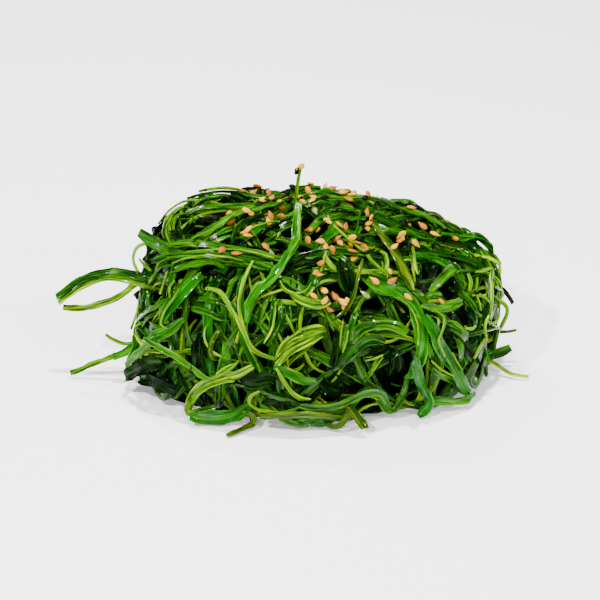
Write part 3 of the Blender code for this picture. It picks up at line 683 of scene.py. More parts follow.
# Strips that lie on the heap, drawn in the front view from the middle of the base: (across, up) in mm,
# with the tone and the width in mm.
LAID_STRIPS: dict[str, tuple[Tone, float, Route]] = {
    "comb_upper": (Tone.GREEN, 2.8, [(-37.4, 29.2), (-33, 29.2), (-26, 28.3), (-16.5, 27), (-7, 25)]),
    "comb_lower": (Tone.GREEN, 2.8, [(-42, 25.3), (-34, 26), (-24.5, 25.3), (-16.5, 24), (-11, 22.5)]),
    "loop_edge": (Tone.GREEN, 1.5, [(-8.5, 15), (-8.3, 10.5), (-9.6, 6.5), (-12, 3)]),
    "left_edge": (Tone.LIME, 1.6, [(-45.6, 13.6), (-46.1, 11.6), (-46.6, 9.6), (-47.2, 7.2)]),
    "left_dark": (Tone.DARK, 4.5, [(-49, -5.5), (-46, -4), (-43, -2), (-39.5, -1.3)]),
    "left_leaf": (Tone.BRIGHT, 3.0, [(-43, 4.3), (-40, 6), (-37, 7), (-33, 9.6)]),
    "left_slant": (Tone.BRIGHT, 2.6, [(-48, -2.5), (-45.5, -0.5), (-42.7, 2), (-40.5, 5)]),
    "left_crossing": (Tone.BRIGHT, 1.8, [(-42.4, 4.8), (-39, 3), (-35, 0.3), (-31, -2), (-26.4, -5.6)]),
    "left_tapering": (Tone.BRIGHT, 3.6, [(-28.5, 21), (-32, 18.4), (-34.7, 14.7), (-38.4, 8.8)]),
    "shoulder_lower": (Tone.GREEN, 2.4, [(-33.3, 38), (-28.5, 39), (-22, 39.5), (-15, 40)]),
    "shoulder_upper": (Tone.GREEN, 2.6, [(-33, 41.6), (-29, 42.6), (-23, 43), (-16.5, 42.4), (-9.6, 41.6)]),
    "shoulder_top": (Tone.LIME, 2.2, [(-29.5, 42.6), (-25.6, 43.6), (-21, 43.9), (-16.3, 43)]),
    "shoulder_diagonal": (
        Tone.BRIGHT, 2.2, [(-31, 29.3), (-27, 32.3), (-22.4, 35.5), (-15.5, 38), (-7.5, 40.5)],
    ),
    "falling_bright": (
        Tone.BRIGHT, 2.8,
        [(-3.5, 40.8), (-4, 35), (-4.3, 30), (-6.4, 25.3), (-9.6, 21), (-14, 17.3), (-16.3, 13), (-16.8, 8.8)],
    ),
    "lime_fork_right": (Tone.LIME, 1.0, [(-15.2, 24), (-17.6, 20), (-19, 14.4), (-18.4, 9.3), (-16.8, 4.5)]),
    "lime_fork_left": (
        Tone.LIME, 1.2,
        [(-28, 18), (-24, 17), (-21, 12.3), (-18, 8), (-16, 3.2), (-13.3, 0.8), (-9.6, -0.3)],
    ),
    "centre_arch": (Tone.GREEN, 3.0, [(10, 3.5), (12, 7), (16, 8.5), (21, 8.3), (25, 6.4)]),
    "centre_fold": (Tone.GREEN, 3.0, [(7, -2.7), (9.3, 0.3), (12.3, 3), (15.5, 5), (19, 4)]),
    "centre_bud": (Tone.LIME, 2.6, [(-5.3, 16.5), (-2, 14.4), (1.6, 13.6), (4.8, 14.7)]),
    "centre_leaf": (Tone.BRIGHT, 2.6, [(-10, -2), (-6, -4), (-2, -6), (1, -6)]),
    "centre_lime": (Tone.LIME, 2.6, [(-9.3, -1.6), (-6, 2), (-0.8, 4.5), (2.7, 6)]),
    "centre_root": (Tone.LIME, 1.2, [(-9.3, -2.4), (-7, -6.4), (-4, -10), (-0.5, -11)]),
    "ridge_strip": (
        Tone.GREEN, 2.8,
        [(-1.6, 38.7), (1.6, 40.3), (7, 41), (14.4, 40.8), (22, 39), (29.6, 36), (35, 33.3)],
    ),
    "right_shoulder": (Tone.GREEN, 3.5, [(34, 32), (39, 31), (43.7, 30.7), (47.7, 27.5)]),
    "olive_diagonal": (Tone.OLIVE, 2.6, [(16.5, 34.7), (19.5, 30.6), (22, 26.7), (24.4, 22), (26.4, 17.5)]),
    "brown_twig": (Tone.OLIVE, 1.0, [(13.3, 25.6), (12, 20.3), (10.7, 15.5), (8.5, 12), (5.3, 9.3)]),
    "wide_blade": (
        Tone.BRIGHT, 4.4,
        [(14.4, 20.3), (18, 18), (22.7, 16), (26.7, 12.3), (28.3, 7), (27.5, 1.3), (25.3, -5.6)],
    ),
    "right_stub": (Tone.BRIGHT, 2.4, [(28, 12.8), (32, 12.5), (35.7, 13), (39.5, 14.4)]),
    "right_blade": (Tone.BRIGHT, 4.0, [(28.3, 10.4), (32, 4.5), (36, -2), (39, -7), (41, -9.6)]),
    "right_hem": (Tone.BRIGHT, 2.6, [(30, -11.7), (34, -11.2), (38, -10.7), (41.6, -9)]),
    "right_drop": (Tone.BRIGHT, 3.0, [(26, 1.3), (27, -3.5), (29, -8.5), (30.7, -11.6), (29.6, -14), (28, -16)]),
    "front_hook": (
        Tone.LIME, 2.4,
        [(-30, -15.7), (-31.5, -12.8), (-30.7, -9.3), (-28, -6.7), (-23.7, -5), (-19, -4), (-15, -2)],
    ),
    "foot_blade": (Tone.BRIGHT, 4.2, [(-28, -12.8), (-24, -14.4), (-19.7, -14.4), (-16.3, -12.3)]),
    "foot_ring": (
        Tone.LIME, 0.9,
        [(-13.3, -8.3), (-16.3, -10), (-15.7, -12.5), (-12.3, -14), (-7.5, -14.4), (-3, -12.5)],
    ),
    "foot_hook": (
        Tone.GREEN, 2.4,
        [(-3.2, -12), (2, -13), (7, -12.3), (11, -10), (15, -8.5), (18.4, -9.6), (19.2, -12)],
    ),
    "foot_curl": (
        Tone.OLIVE, 2.0,
        [(-13.3, -15), (-7, -14.7), (-1, -14.2), (6, -15.2), (11.2, -15.5), (12.5, -17), (9.6, -18.4),
         (3.5, -17.6)],
    ),
    "foot_tail": (Tone.OLIVE, 2.0, [(-18, -13.6), (-15.7, -15.2), (-15.2, -17.3), (-18, -19.5), (-22.4, -21.3)]),
}

# Shreds drawn in the same way, which lie under the strips above: width and route in mm, from the lowest up.
SHREDS: dict[Tone, tuple[tuple[float, Route], ...]] = {
    Tone.DARK: (
        # The wide dark shreds at the head of this list are dark sheets laid where the heap shows black hollows between
        # the strips: painted shade.
        (5.5, [(8.5, 27), (8.5, 23.5), (9.5, 20), (11, 17)]), (5.0, [(-1, 13), (-2, 10.5), (-3.5, 8.5)]),
        (5.5, [(6, -3), (9, -4.5), (12, -7)]), (4.5, [(-29.5, 5.5), (-29.3, 1), (-29.5, -4), (-30.2, -8.5)]),
        (6.0, [(-20.5, -6), (-16, -6.5), (-11, -6), (-9.5, -8)]), (6.0, [(21.5, 1.5), (21.8, -2), (21.5, -6)]),
        (4.0, [(34.3, 7), (34.5, 4), (35.5, 0.5)]), (4.0, [(35.5, 12), (38, 10.8), (40.2, 10)]),
        (5.0, [(-29, 21), (-25.5, 20.6), (-21.5, 20.5)]), (4.5, [(-46.5, -4.5), (-43, -6), (-39, -7.5), (-35, -9)]),
        (4.0, [(-36, -4), (-34, -7), (-32.5, -10)]), (4.5, [(-14, -11), (-10.5, -11.5), (-7.5, -11)]),
        (5.0, [(-9, -9.5), (-6, -10.5), (-2, -9)]), (4.5, [(1, -6), (5, -8), (10, -9)]),
        (4.0, [(13, 2.5), (17, 1.5), (20, 3)]), (4.5, [(24, 30), (24, 26.5), (25.2, 23.5)]),
        (4.0, [(30.5, 27), (31.5, 24), (31.5, 20.5)]), (4.0, [(28, 20.5), (29.5, 18.5), (30.5, 17)]),
        (4.0, [(-35.5, 36), (-36.5, 33.5), (-34, 31)]), (3.0, [(-19.5, 36.4), (-16, 37), (-12.5, 38.2)]),
        (2.4, [(-14.5, 33.5), (-11.5, 35), (-8, 36)]), (2.2, [(-40.8, -0.8), (-40.4, -3), (-41.3, -5.8)]),
        (2.4, [(-38.8, -0.8), (-38, -3.6), (-38.4, -6.5)]), (1.8, [(-30.6, 6.5), (-30.8, 3), (-30.2, -1)]),
        (1.8, [(-28.4, 7), (-28.4, 3), (-28, -1.5)]), (1.6, [(-5.6, 25), (-5.1, 21.5), (-5.5, 18.2)]),
        (1.6, [(-4, 24.4), (-3.8, 20.6), (-4.2, 17.8)]), (1.6, [(-2.7, 23.8), (-2.4, 20.4), (-2.6, 18)]),
        (2.0, [(-3.2, 12.8), (-4, 10.6), (-5.6, 8.4)]), (2.2, [(6.5, 7), (6.2, 3), (5.5, -1), (4, -4.8)]),
        (1.8, [(12.5, 12.5), (16, 12), (21, 12)]), (1.6, [(13, -1), (14, -3.5), (14, -6.5)]),
        (2.4, [(36.4, 6), (36.5, 2), (36.9, -1.5)]), (3.0, [(37, 22), (38.5, 20), (39, 17), (38, 15)]),
    ),
    Tone.GREEN: (
        (3.0, [(-31, 41.2), (-26, 42.2), (-21, 42.5), (-15, 41.6)]),
        (2.0, [(-32.8, 41.2), (-28, 41), (-24, 41.5), (-20.5, 42)]),
        (2.0, [(-32.5, 38.3), (-29, 37.4), (-25.5, 37), (-22, 38.2)]),
        (2.2, [(-32, 27.5), (-29, 29), (-26, 31), (-23, 32.8), (-20, 34.2)]),
        (1.8, [(-28.5, 28.5), (-25, 30), (-22, 31.5), (-19, 32)]),
        (2.4, [(-33, 26.9), (-28, 27.1), (-22, 26.8), (-15, 26.3), (-9.5, 25.6)]),
        (2.0, [(-38, 28.4), (-35, 28.7), (-31, 29.8), (-27.5, 30.3)]),
        (3.4, [(2, 38.4), (6, 38.8), (10, 38.7), (12.6, 37.4)]), (1.6, [(28.4, 28), (28.8, 25.4), (29.8, 22.4)]),
        (2.2, [(-43.6, 18.6), (-44.3, 15.2), (-44, 12)]), (1.8, [(-41.9, 17), (-42.5, 13.8), (-42.8, 11.2)]),
        (1.6, [(-47.2, 7.8), (-45, 9.6), (-43.4, 11.3), (-41.4, 12.1)]),
        (3.0, [(-45.2, 9.4), (-43.4, 8.3), (-41.4, 7.2), (-39.4, 7)]),
        (2.2, [(-33.4, 14), (-31, 12.8), (-28, 12), (-25, 10.6), (-22.8, 10)]),
        (2.0, [(-32, 16), (-28, 15.3), (-24, 14.6), (-21.8, 14)]), (2.0, [(-30.4, 17.5), (-27, 16.9), (-24.3, 16)]),
        (1.4, [(-12.6, 17), (-14, 13.6), (-16.4, 9.5)]), (1.6, [(-11.4, 16.6), (-13, 12), (-15.4, 7.2)]),
        (1.5, [(-9.8, 17), (-10.3, 13), (-10.6, 9), (-11.6, 5.4)]),
        (1.5, [(-7.9, 15.6), (-7.5, 12), (-7.8, 8.4), (-8.6, 5)]), (1.5, [(-6.4, 15), (-6, 11), (-6.6, 7.4)]),
        (0.9, [(-11.4, 13.2), (-12.5, 10.6), (-14, 8.4), (-15.6, 6.4)]),
        (1.8, [(12, 13.6), (11, 10), (9.6, 6), (8.6, 2.4)]), (1.8, [(8.6, 11), (8.3, 7), (7.8, 3), (7.4, 0.2)]),
        (1.6, [(13.6, 11), (12, 7), (10.2, 4), (9, 2.4)]), (1.6, [(14, 9), (18, 8.9), (23, 8.6)]),
        (2.0, [(12, 7), (17, 7.3), (22, 7), (25, 6)]), (1.5, [(13.5, 10.8), (18, 11), (21.5, 10.5)]),
        (3.0, [(35.2, 9.5), (38, 8), (41, 5.5), (42.5, 3)]), (2.5, [(38.7, 5), (39.4, 2), (39.2, -1), (38.4, -4)]),
        (2.2, [(28, 9.5), (28.9, 7), (29.6, 5)]), (0.8, [(9.2, 2.8), (10.5, 5), (12.5, 7)]),
        (0.6, [(19.5, 2.6), (21.5, 2.3), (24, 1.5)]), (3.5, [(-29.5, 16.5), (-30, 20), (-28.5, 22.5)]),
        (2.5, [(-35, 16), (-33, 18.5), (-32, 21)]), (1.6, [(-42.6, 20), (-40.5, 22), (-38, 24)]),
        (3.2, [(-39.6, 26.6), (-37, 27.4), (-34.5, 27.4)]), (1.4, [(-12.8, -8.5), (-12, -6), (-11, -3)]),
        (1.6, [(0, -4.5), (1.5, -2.5), (3.5, 0)]), (1.6, [(-1.5, -5.5), (0.2, -3), (1.2, 0)]),
        (3.0, [(43, 30), (43.5, 28), (44, 26)]), (2.5, [(33.5, 27.5), (35, 26), (36.3, 24)]),
        (2.4, [(0, -15), (5, -15), (9, -13.5), (12, -11.5)]), (2.4, [(-24, -5.8), (-21.5, -5), (-18, -4)]),
        (2.4, [(30, 28.5), (33, 28), (36, 29)]), (2.6, [(37.5, 19), (40, 16), (42.5, 12.5), (44, 9)]),
        (2.4, [(41.5, 13), (42.8, 10), (43.6, 6.5)]), (2.6, [(30, 16.5), (33.5, 16.8), (37, 16)]),
    ),
    Tone.OLIVE: (
        (2.0, [(-11.8, 40.8), (-9.3, 42.7), (-7, 44.1), (-5, 44.8)]), (1.2, [(-6, 44.4), (-3.5, 44.5), (-1.5, 44.1)]),
        (2.6, [(14.6, 29), (16.5, 29.2), (19, 29)]), (1.3, [(-31.8, 10.2), (-33, 7.6), (-33.8, 5.2)]),
        (1.7, [(-24.4, 8.6), (-25.5, 5.6), (-26.2, 2.6), (-26, -0.4), (-25, -2.2)]),
        (1.4, [(38, 28.5), (39.5, 27.5), (41.5, 25.8)]),
    ),
    Tone.BRIGHT: (
        (2.0, [(-33, 39.8), (-29.5, 39), (-26, 39.5), (-22, 40.6), (-20, 41)]),
        (2.4, [(-36.5, 25.2), (-31, 25.4), (-25, 25.3), (-19, 24.8), (-12, 24.2), (-9.3, 23)]),
        (2.2, [(-38.5, 22.8), (-33, 23.4), (-28, 24.2), (-23.5, 23.9)]),
        (3.0, [(-16, 23.4), (-13, 24.2), (-10.5, 23.7), (-8.5, 22.4)]),
        (2.4, [(-3, 42.6), (1, 43.2), (5, 43.4), (9.5, 42.9), (13.5, 41.6)]),
        (1.4, [(1, 43.9), (3, 44.7), (4.6, 45.4)]), (2.6, [(25.8, 32.2), (27.4, 33), (28.8, 32.6)]),
        (2.2, [(28.6, 31.8), (30.3, 31), (32, 30.8)]), (3.4, [(-42.5, 4.4), (-40, 5.2), (-37.4, 5)]),
        (1.6, [(-32.9, 6), (-33.5, 3.4), (-34, 0.6)]), (3.0, [(-23.6, 3.7), (-22.6, 1.5), (-22.1, -1), (-22.6, -2.7)]),
        (1.2, [(-44.5, 20.8), (-42, 22.5), (-39.5, 24.6), (-37, 25.3)]),
        (2.0, [(28.5, 9), (29.3, 6.5), (30, 4), (31, 1), (33, -2)]),
        (2.0, [(30.3, -1), (31.3, -2.5), (33, -4.5), (36, -5.6), (39, -7.5)]),
        (1.8, [(45.8, 5), (44.5, 2.5), (43.5, 1), (42.8, -0.3)]), (1.8, [(41.6, 0.5), (41.9, -2), (41.3, -4.5)]),
        (3.5, [(32.5, 18.5), (34, 20.5), (36, 22.5), (38, 23.8), (40, 24)]),
        (2.0, [(27.2, -2.5), (28.5, -5), (30, -8)]), (2.4, [(35, -5.5), (38, -6.8), (40.5, -9)]),
        (0.8, [(26.2, -7.3), (24.5, -8.4), (22, -8.7)]), (1.4, [(43.3, 22.2), (45, 22.6), (47, 23.2)]),
        (2.4, [(-38, 0.2), (-35.5, -0.5), (-33, -1.8), (-31, -3)]),
        (1.6, [(-9.8, -1.5), (-8, -0.5), (-6.5, 0)]), (2.0, [(4.5, -15.8), (6, -16.3), (8, -16.8)]),
        (2.4, [(39, 30), (41, 28), (42, 25.5)]), (2.6, [(19, 21.5), (20, 19), (22, 17)]),
    ),
    Tone.LIME: (
        (3.2, [(-32, 41), (-35.4, 39.6), (-37.8, 36.8), (-39.2, 33.6), (-39, 31)]),
        (2.4, [(-38, 33.5), (-36.8, 36.5), (-34.8, 38.6), (-32.6, 39.8)]),
        (0.7, [(-18.8, 33), (-16, 34.3), (-12, 35.6), (-8, 37.6)]), (1.0, [(3.4, 45.6), (4.8, 44), (6, 42.8)]),
        (1.2, [(8.2, 45.9), (9.4, 45.9), (10.6, 45.5)]), (1.2, [(26.4, 28.6), (26.7, 26), (27.1, 24), (28, 21.8)]),
        (1.0, [(24, 25.2), (25.6, 25.6), (27, 25.4)]), (0.8, [(4.6, 28.1), (3.8, 26.4), (2.8, 24.4), (2.4, 22.4)]),
        (0.7, [(-45.6, 10.5), (-47.2, 8.8), (-48.3, 6.6), (-48.6, 4.8)]),
        (0.8, [(-38.2, 22), (-39.3, 19.3), (-40.1, 16.6)]), (0.7, [(-36.4, 20.2), (-37.8, 18), (-37.5, 15.6)]),
        (0.7, [(-34.4, 18), (-36, 14.8), (-37.6, 12.4), (-38.6, 10), (-39.2, 8.3), (-38.9, 7.3), (-38.2, 7.9)]),
        (0.8, [(-16.8, 3.6), (-18.7, 1.9), (-19.4, -0.5), (-19.1, -2.4)]),
        (0.5, [(-8.5, 20), (-7.5, 18), (-5.5, 16.8), (-3, 16.7), (-1.2, 17.8), (-0.3, 19.6)]),
        (2.4, [(-4.6, 5.4), (-1.5, 6.9), (2, 7.5), (4.2, 6.9)]), (1.4, [(-6.4, 5), (-7.2, 3.4), (-6.6, 1.6)]),
        (2.2, [(-8.4, 0.4), (-6.4, 2.5), (-4.4, 4.3), (-1.4, 4.8), (1, 4.4)]),
        (1.8, [(-4, 1.6), (-3.2, 0.2), (-2.7, -0.8)]), (1.4, [(-5.4, -4.2), (-3.6, -3.8), (-1.8, -2.6)]),
        (1.6, [(7.6, -2.4), (10.6, -0.2), (13.6, 1)]), (0.7, [(12.4, 22), (11.4, 18.5), (10.4, 14.5), (9, 12)]),
        (0.8, [(32, 11.8), (33.5, 11), (33.9, 9.5), (33.6, 8), (32.2, 7), (31.9, 5), (32.8, 2.5), (33.8, 0.5)]),
        (1.4, [(41, 22), (41.8, 20), (41.5, 17)]), (0.8, [(43.6, 21), (43.5, 19), (43.2, 17.5)]),
        (0.9, [(42.5, 16.3), (43, 14), (43, 12)]), (0.8, [(43, 16.5), (44, 15), (45, 13.2)]),
        (0.8, [(40.3, 7.7), (42, 7.5), (43.3, 8.2)]), (0.7, [(44.3, 8.4), (44.4, 7.2), (44.4, 6)]),
        (0.5, [(28.7, 4.5), (28.6, 2.5), (28.9, 0.5)]), (0.7, [(36.6, 26.7), (36.9, 25.3), (36.3, 24.2)]),
        (0.9, [(18.7, 0), (17.3, -1.7), (16, -4), (13.8, -6.6)]), (0.6, [(14.2, -1), (15.8, -0.3), (17.5, 0.8)]),
        (1.2, [(-31, 29.4), (-29, 29.8), (-27.5, 31.5), (-25, 34), (-24, 35)]),
        (1.6, [(-36.9, 20.2), (-35.5, 21), (-34, 21.3)]), (0.9, [(-44.4, 19.4), (-42.5, 20), (-40.5, 21)]),
        (1.1, [(-28.5, 18), (-26, 18.4), (-24, 17.3), (-22.8, 15.5)]),
        (0.8, [(-31, -3), (-29, -4), (-27, -5), (-25.5, -5.5)]), (0.9, [(-25.4, -2.6), (-24.5, -2), (-23.6, -1.5)]),
        (0.8, [(-26, -5), (-23, -3.5), (-20.5, -2.5), (-19.5, 0)]),
        (0.8, [(-18.9, -3.7), (-18.1, -3.2), (-17.3, -2.8)]),
        (1.6, [(-8.5, -2.3), (-6, -3.8), (-3.5, -5), (-1.5, -6.8)]), (0.8, [(-11.2, -5.8), (-10.5, -5), (-9.8, -4.4)]),
        (1.6, [(-5, -16.2), (-3.5, -15.9), (-2, -16)]), (0.9, [(-7, -13), (-4.8, -12), (-2, -11.5)]),
        (1.2, [(0.3, -12), (2, -13), (3.8, -13.2)]), (0.5, [(8.8, -14.6), (10.5, -12.5), (12.5, -11)]),
        (0.6, [(36.5, 29), (38.5, 29.8), (39.6, 30.2)]), (0.6, [(-38.3, 12.4), (-37.3, 14.2), (-36, 15.6)]),
    ),
}

# Lime threads drawn in the same way, which lie over all the strips: width and route in mm.
THREADS: tuple[tuple[float, Route], ...] = (
    (1.4, [(47.2, 23.4), (46, 21), (45.6, 18), (45.4, 14), (45, 10)]), (1.0, [(43, 22.3), (45, 22.7), (47, 23.3)]),
    (0.9, [(42.5, 16.3), (44.5, 16), (47, 16.6), (49.4, 15)]), (0.8, [(42.6, 16.4), (42.8, 14), (43, 12)]),
    (0.8, [(43.2, 16.4), (44.2, 14.8), (45.2, 13)]), (1.0, [(44.6, 11), (44, 8.5), (44.3, 6), (45.4, 3.5)]),
    (0.9, [(40.3, 7.7), (42, 7.5), (43.3, 8.2)]), (1.4, [(45.9, 5.4), (44.5, 2.5), (43.5, 1), (42.8, -0.3)]),
    (0.7, [(43.6, 21), (43.5, 19), (43.2, 17.5)]), (1.6, [(41.2, 22), (41.9, 20), (41.4, 17.4)]),
    (1.0, [(-45.4, 26), (-44, 24.2), (-42.4, 22.8)]), (0.7, [(-38.2, 22.6), (-39.3, 19.3), (-40.1, 16.6)]),
    (0.7, [(-36.4, 20.2), (-37.8, 18), (-37.5, 15.6)]),
    (0.7, [(-34.4, 18), (-36, 14.8), (-37.6, 12.4), (-38.6, 10), (-39.2, 8.3), (-38.9, 7.3), (-38.2, 7.9)]),
    (0.8, [(-31.9, -14.5), (-31.3, -11), (-28.8, -8), (-25, -5.8), (-21, -4.5)]),
    (0.7, [(-30.8, -13), (-29.6, -9.8), (-27, -7.5), (-23, -6), (-19.5, -5.2)]),
    (0.7, [(-26.5, -5.3), (-24, -4), (-21, -3), (-19, -0.8)]), (0.6, [(-24.5, -3.8), (-22.4, -2.4), (-20.4, -1.6)]),
    (0.5, [(-8.5, 20), (-7.5, 18), (-5.5, 16.8), (-3, 16.7), (-1.2, 17.8), (-0.3, 19.6)]),
    (0.5, [(-33, 27.6), (-26, 27.3), (-18, 26.6), (-10, 25.2)]),
    (0.5, [(-37, 24.6), (-30, 25), (-24, 24.6), (-18, 23.8)]),
    (0.6, [(-25, 17.3), (-21.8, 13.4), (-18.6, 8.6), (-16.6, 4)]),
    (0.5, [(22, 15.5), (25.5, 12.5), (27.4, 8), (27.2, 3)]),
    (0.5, [(-3, 39), (-3.3, 34), (-3.6, 30), (-5.8, 25.5)]), (0.6, [(31, -0.5), (33, -2.5), (36, -4.3)]),
    (0.7, [(32, 11.8), (33.5, 11), (33.9, 9.5), (33.6, 8), (32.2, 7), (31.9, 5), (32.8, 2.5), (33.8, 0.5)]),
    (0.5, [(35.5, 2), (36, 0), (37, -2.2)]), (0.6, [(-9.6, 14.5), (-9.9, 10.5), (-10.8, 6.8), (-12.6, 3.6)]),
    (0.5, [(8.2, 9.6), (7.6, 6.4), (7.2, 3.2)]), (0.6, [(9.6, 7), (9, 4.2), (8, 1.4)]),
    (0.6, [(14.2, -1), (15.8, -0.3), (17.5, 0.8)]), (0.6, [(18.7, 0), (17.3, -1.7), (16, -4), (13.8, -6.6)]),
    (0.6, [(-20, 12), (-18.9, 9), (-17.6, 6.6), (-16.2, 4.2)]), (0.6, [(24, 25.4), (25.6, 25.7), (26.8, 25.5)]),
    (0.9, [(26.5, 28.6), (26.8, 26), (27.2, 24), (28, 21.8)]), (0.6, [(3.8, 28), (3.2, 26), (2.6, 24), (2.4, 22.6)]),
)

# Strips and threads that stick out of the heap, rooted in it: tone, width in mm, and points in mm.
SPRIGS: dict[str, tuple[Tone, float, Route]] = {
    "eye_upper": (
        Tone.GREEN, 2.4, [(-34, -8, 23), (-44, -8, 26.8), (-52, -7, 28), (-59.8, -6, 25.3), (-66.6, -6, 20.4)],
    ),
    "eye_rim": (
        Tone.LIME, 1.9, [(-34, -8.8, 21.3), (-44, -8.8, 25.3), (-52, -7.8, 26.6), (-59.4, -6.8, 23.9), (-66, -6.8, 19)],
    ),
    "eye_lower": (
        Tone.LIME, 2.1,
        [(-36, -5, 26), (-45, -6, 24.6), (-50, -7, 21), (-54, -7, 19.2), (-59.4, -7, 17.6), (-65, -7, 17.8)],
    ),
    "left_stub": (Tone.GREEN, 3.2, [(-29, -8, 31.5), (-37, -10, 35.8), (-44.4, -10.5, 40.6)]),
    "left_ring": (
        Tone.LIME, 0.9, [(-38, 2, 32.6), (-44.6, 2, 32), (-46.8, 1, 28.4), (-44.4, -2, 24.6), (-37, -4, 23.4)],
    ),
    "left_runner": (
        Tone.LIME, 1.7, [(-36, -10, 12.4), (-45, -12, 9.4), (-50, -12.5, 7.2), (-55, -12.5, 4.9), (-63.2, -12, 1.4)],
    ),
    "runner_root": (Tone.BRIGHT, 2.7, [(-37, -11, 11.5), (-45, -12.8, 9.3), (-51.5, -13.2, 6.2)]),
    "left_spur": (
        Tone.LIME, 1.1, [(-38, -6, 8.5), (-45.2, -6, 7.2), (-48.8, -6, 6.7), (-52.2, -6, 7.8), (-54.4, -6, 9.4)],
    ),
    "right_lash": (Tone.LIME, 0.9, [(40, 0, 30), (47.5, 0, 28.5), (49, 0, 25), (47, -3, 21), (40, -4, 19)]),
    "right_post": (Tone.LIME, 1.8, [(41, -3, 27), (48, -4, 24), (48, -6, 18), (44, -7, 12), (38, -6, 9)]),
    "right_loop": (
        Tone.LIME, 1.3, [(38, -6, 17), (45, -7, 20), (50.5, -6, 18), (50, -6, 13), (46, -7, 8), (40, -7, 5)],
    ),
    "right_claw": (Tone.DARK, 1.4, [(40, 4, 19), (48, 4, 19), (51, 4, 17.5), (53.3, 4, 14)]),
    "right_prong": (Tone.OLIVE, 0.9, [(40, -2, 8), (49, -2, 8.4), (54, -2, 9)]),
    "right_cup": (Tone.GREEN, 2.6, [(38, -4, 3), (47, -5, 3), (52.3, -5, 5.5)]),
    "right_tendril": (Tone.LIME, 1.1, [(38, -8, 4), (46, -9, 3.5), (50, -11, 2), (53, -13, 1), (56.5, -14, 0.9)]),
    "top_twig": (Tone.LIME, 1.0, [(-4.5, 8, 33), (-4.3, 7, 41), (-4, 6, 46), (-3.2, 6, 52)]),
}


def build_of(tone: Tone, width: float) -> Build:
    """How a strip is cut.

    Args:
        tone: its colour family.
        width: its width in mm.

    Returns:
        The cut.
    """
    if width < 1.7:
        return Build.THREAD
    if tone is Tone.DARK:
        return Build.FRILL
    return Build.BLADE if width >= 3.5 or tone is Tone.BRIGHT else Build.STEM


@dataclass
class LaidStrips:
    """The strips that the eye follows, lying loose on the heap."""

    view: FrontView
    step: float = 2.5 * MM
    most_depth_slope: float = 1.2
    gap: float = 0.15 * MM
    tucked: float = 2.6 * MM

    def strip(self, pile: Pile, name: str, tone: Tone, width: float, route: Route) -> Strip:
        """A strip whose route is drawn in the front view, on top of the pile. It bridges what lies deeper.

        Args:
            pile: what it lies on.
            name: what it is called.
            tone: its colour family.
            width: its width in mm.
            route: where it is seen, across and up, in mm.

        Returns:
            The strip.
        """
        drawn = evenly(rounded_through(np.array(route) * MM, 12), self.step)
        found = [self.view.sighting(pile, across, up) for across, up in drawn]
        travel = np.array([distance for distance, _ in found])
        for places in (range(1, len(travel)), range(len(travel) - 2, -1, -1)):
            before = -1 if places.step == 1 else 1
            for place in places:
                travel[place] = min(travel[place], travel[place + before] + self.most_depth_slope * self.step)
        travel = softened(travel, 4)
        rays = np.array([self.view.ray(across, up) for across, up in drawn])
        points = self.view.eye + rays * travel[:, None]
        floored = np.array([on_floor for _, on_floor in found], float)[:, None]
        thickness = min(width, 0.8 if width > 1.3 else 0.7) * MM
        points = points + unit(points) * thickness * 0.6
        normals = unit(pile.bed.normals(points) * (1 - floored) + UP * floored)
        for axis in range(3):
            normals[:, axis] = softened(normals[:, axis], 3)
        half_widths = tapered(len(points), width * MM, 0.6)
        strip = Strip(name, build_of(tone, width), tone, points, normals, half_widths, thickness / 2)
        strip.keep_off_floor(self.view.floor_gap)
        return strip

    def rest_on(self, strip: Strip, trees: list[BVHTree]) -> None:
        """Moves a strip out along its normals until it lies clear on what is under it.

        Args:
            strip: the strip to move.
            trees: the pieces that it may meet.
        """
        high = 9 * MM
        needed = np.full(len(strip.points), -1.0)
        for share in np.linspace(-0.8, 0.8, 5):
            spots = strip.points + strip.sides * (strip.half_widths * share)[:, None]
            for number, (spot, normal) in enumerate(zip(spots, strip.normals)):
                for tree in trees:
                    hit = tree.ray_cast(Vector(spot + normal * high), Vector(-normal), high + 3 * MM)
                    if hit[3] is not None:
                        needed[number] = max(needed[number], high - hit[3])
        push = np.maximum(needed + self.gap + strip.half_thickness, 0.0)
        beside = np.pad(push, 1, mode="edge")
        push = softened(np.maximum(push, np.maximum(beside[2:], beside[:-2]) * 0.8), 2)
        strip.points = strip.points + strip.normals * push[:, None]
        strip.frame_again()
        strip.keep_off_floor(self.view.floor_gap)

    def tuck(self, strip: Strip) -> None:
        """Narrows a shred's ends and sinks them among the strips under it.

        Args:
            strip: the shred.
        """
        places = np.arange(len(strip.points))
        share = np.exp(-places / 0.9) + np.exp(-places[::-1] / 0.9)
        strip.points = strip.points - strip.normals * (share * self.tucked)[:, None]
        strip.half_widths = strip.half_widths * (1 - 0.4 * np.minimum(share, 1.0))
        strip.frame_again()
        strip.keep_off_floor(self.view.floor_gap)


@dataclass
class Ribbons:
    """The shreds laid so far as flat ribbons, for the next one to rest on."""

    corners: list[Vector] = field(default_factory=list)
    faces: list[tuple[int, int, int, int]] = field(default_factory=list)

    def add(self, strip: Strip) -> None:
        """Adds the upper face of a strip.

        Args:
            strip: the strip, where it lies.
        """
        top = strip.points + strip.normals * strip.half_thickness
        wide = strip.sides * strip.half_widths[:, None]
        first = len(self.corners)
        for left, right in zip(top - wide, top + wide):
            self.corners += (Vector(left), Vector(right))
        self.faces += [(n, n + 1, n + 3, n + 2) for n in range(first, len(self.corners) - 2, 2)]

    def tree(self) -> BVHTree:
        """A search tree of the ribbons."""
        return BVHTree.FromPolygons(self.corners, self.faces)


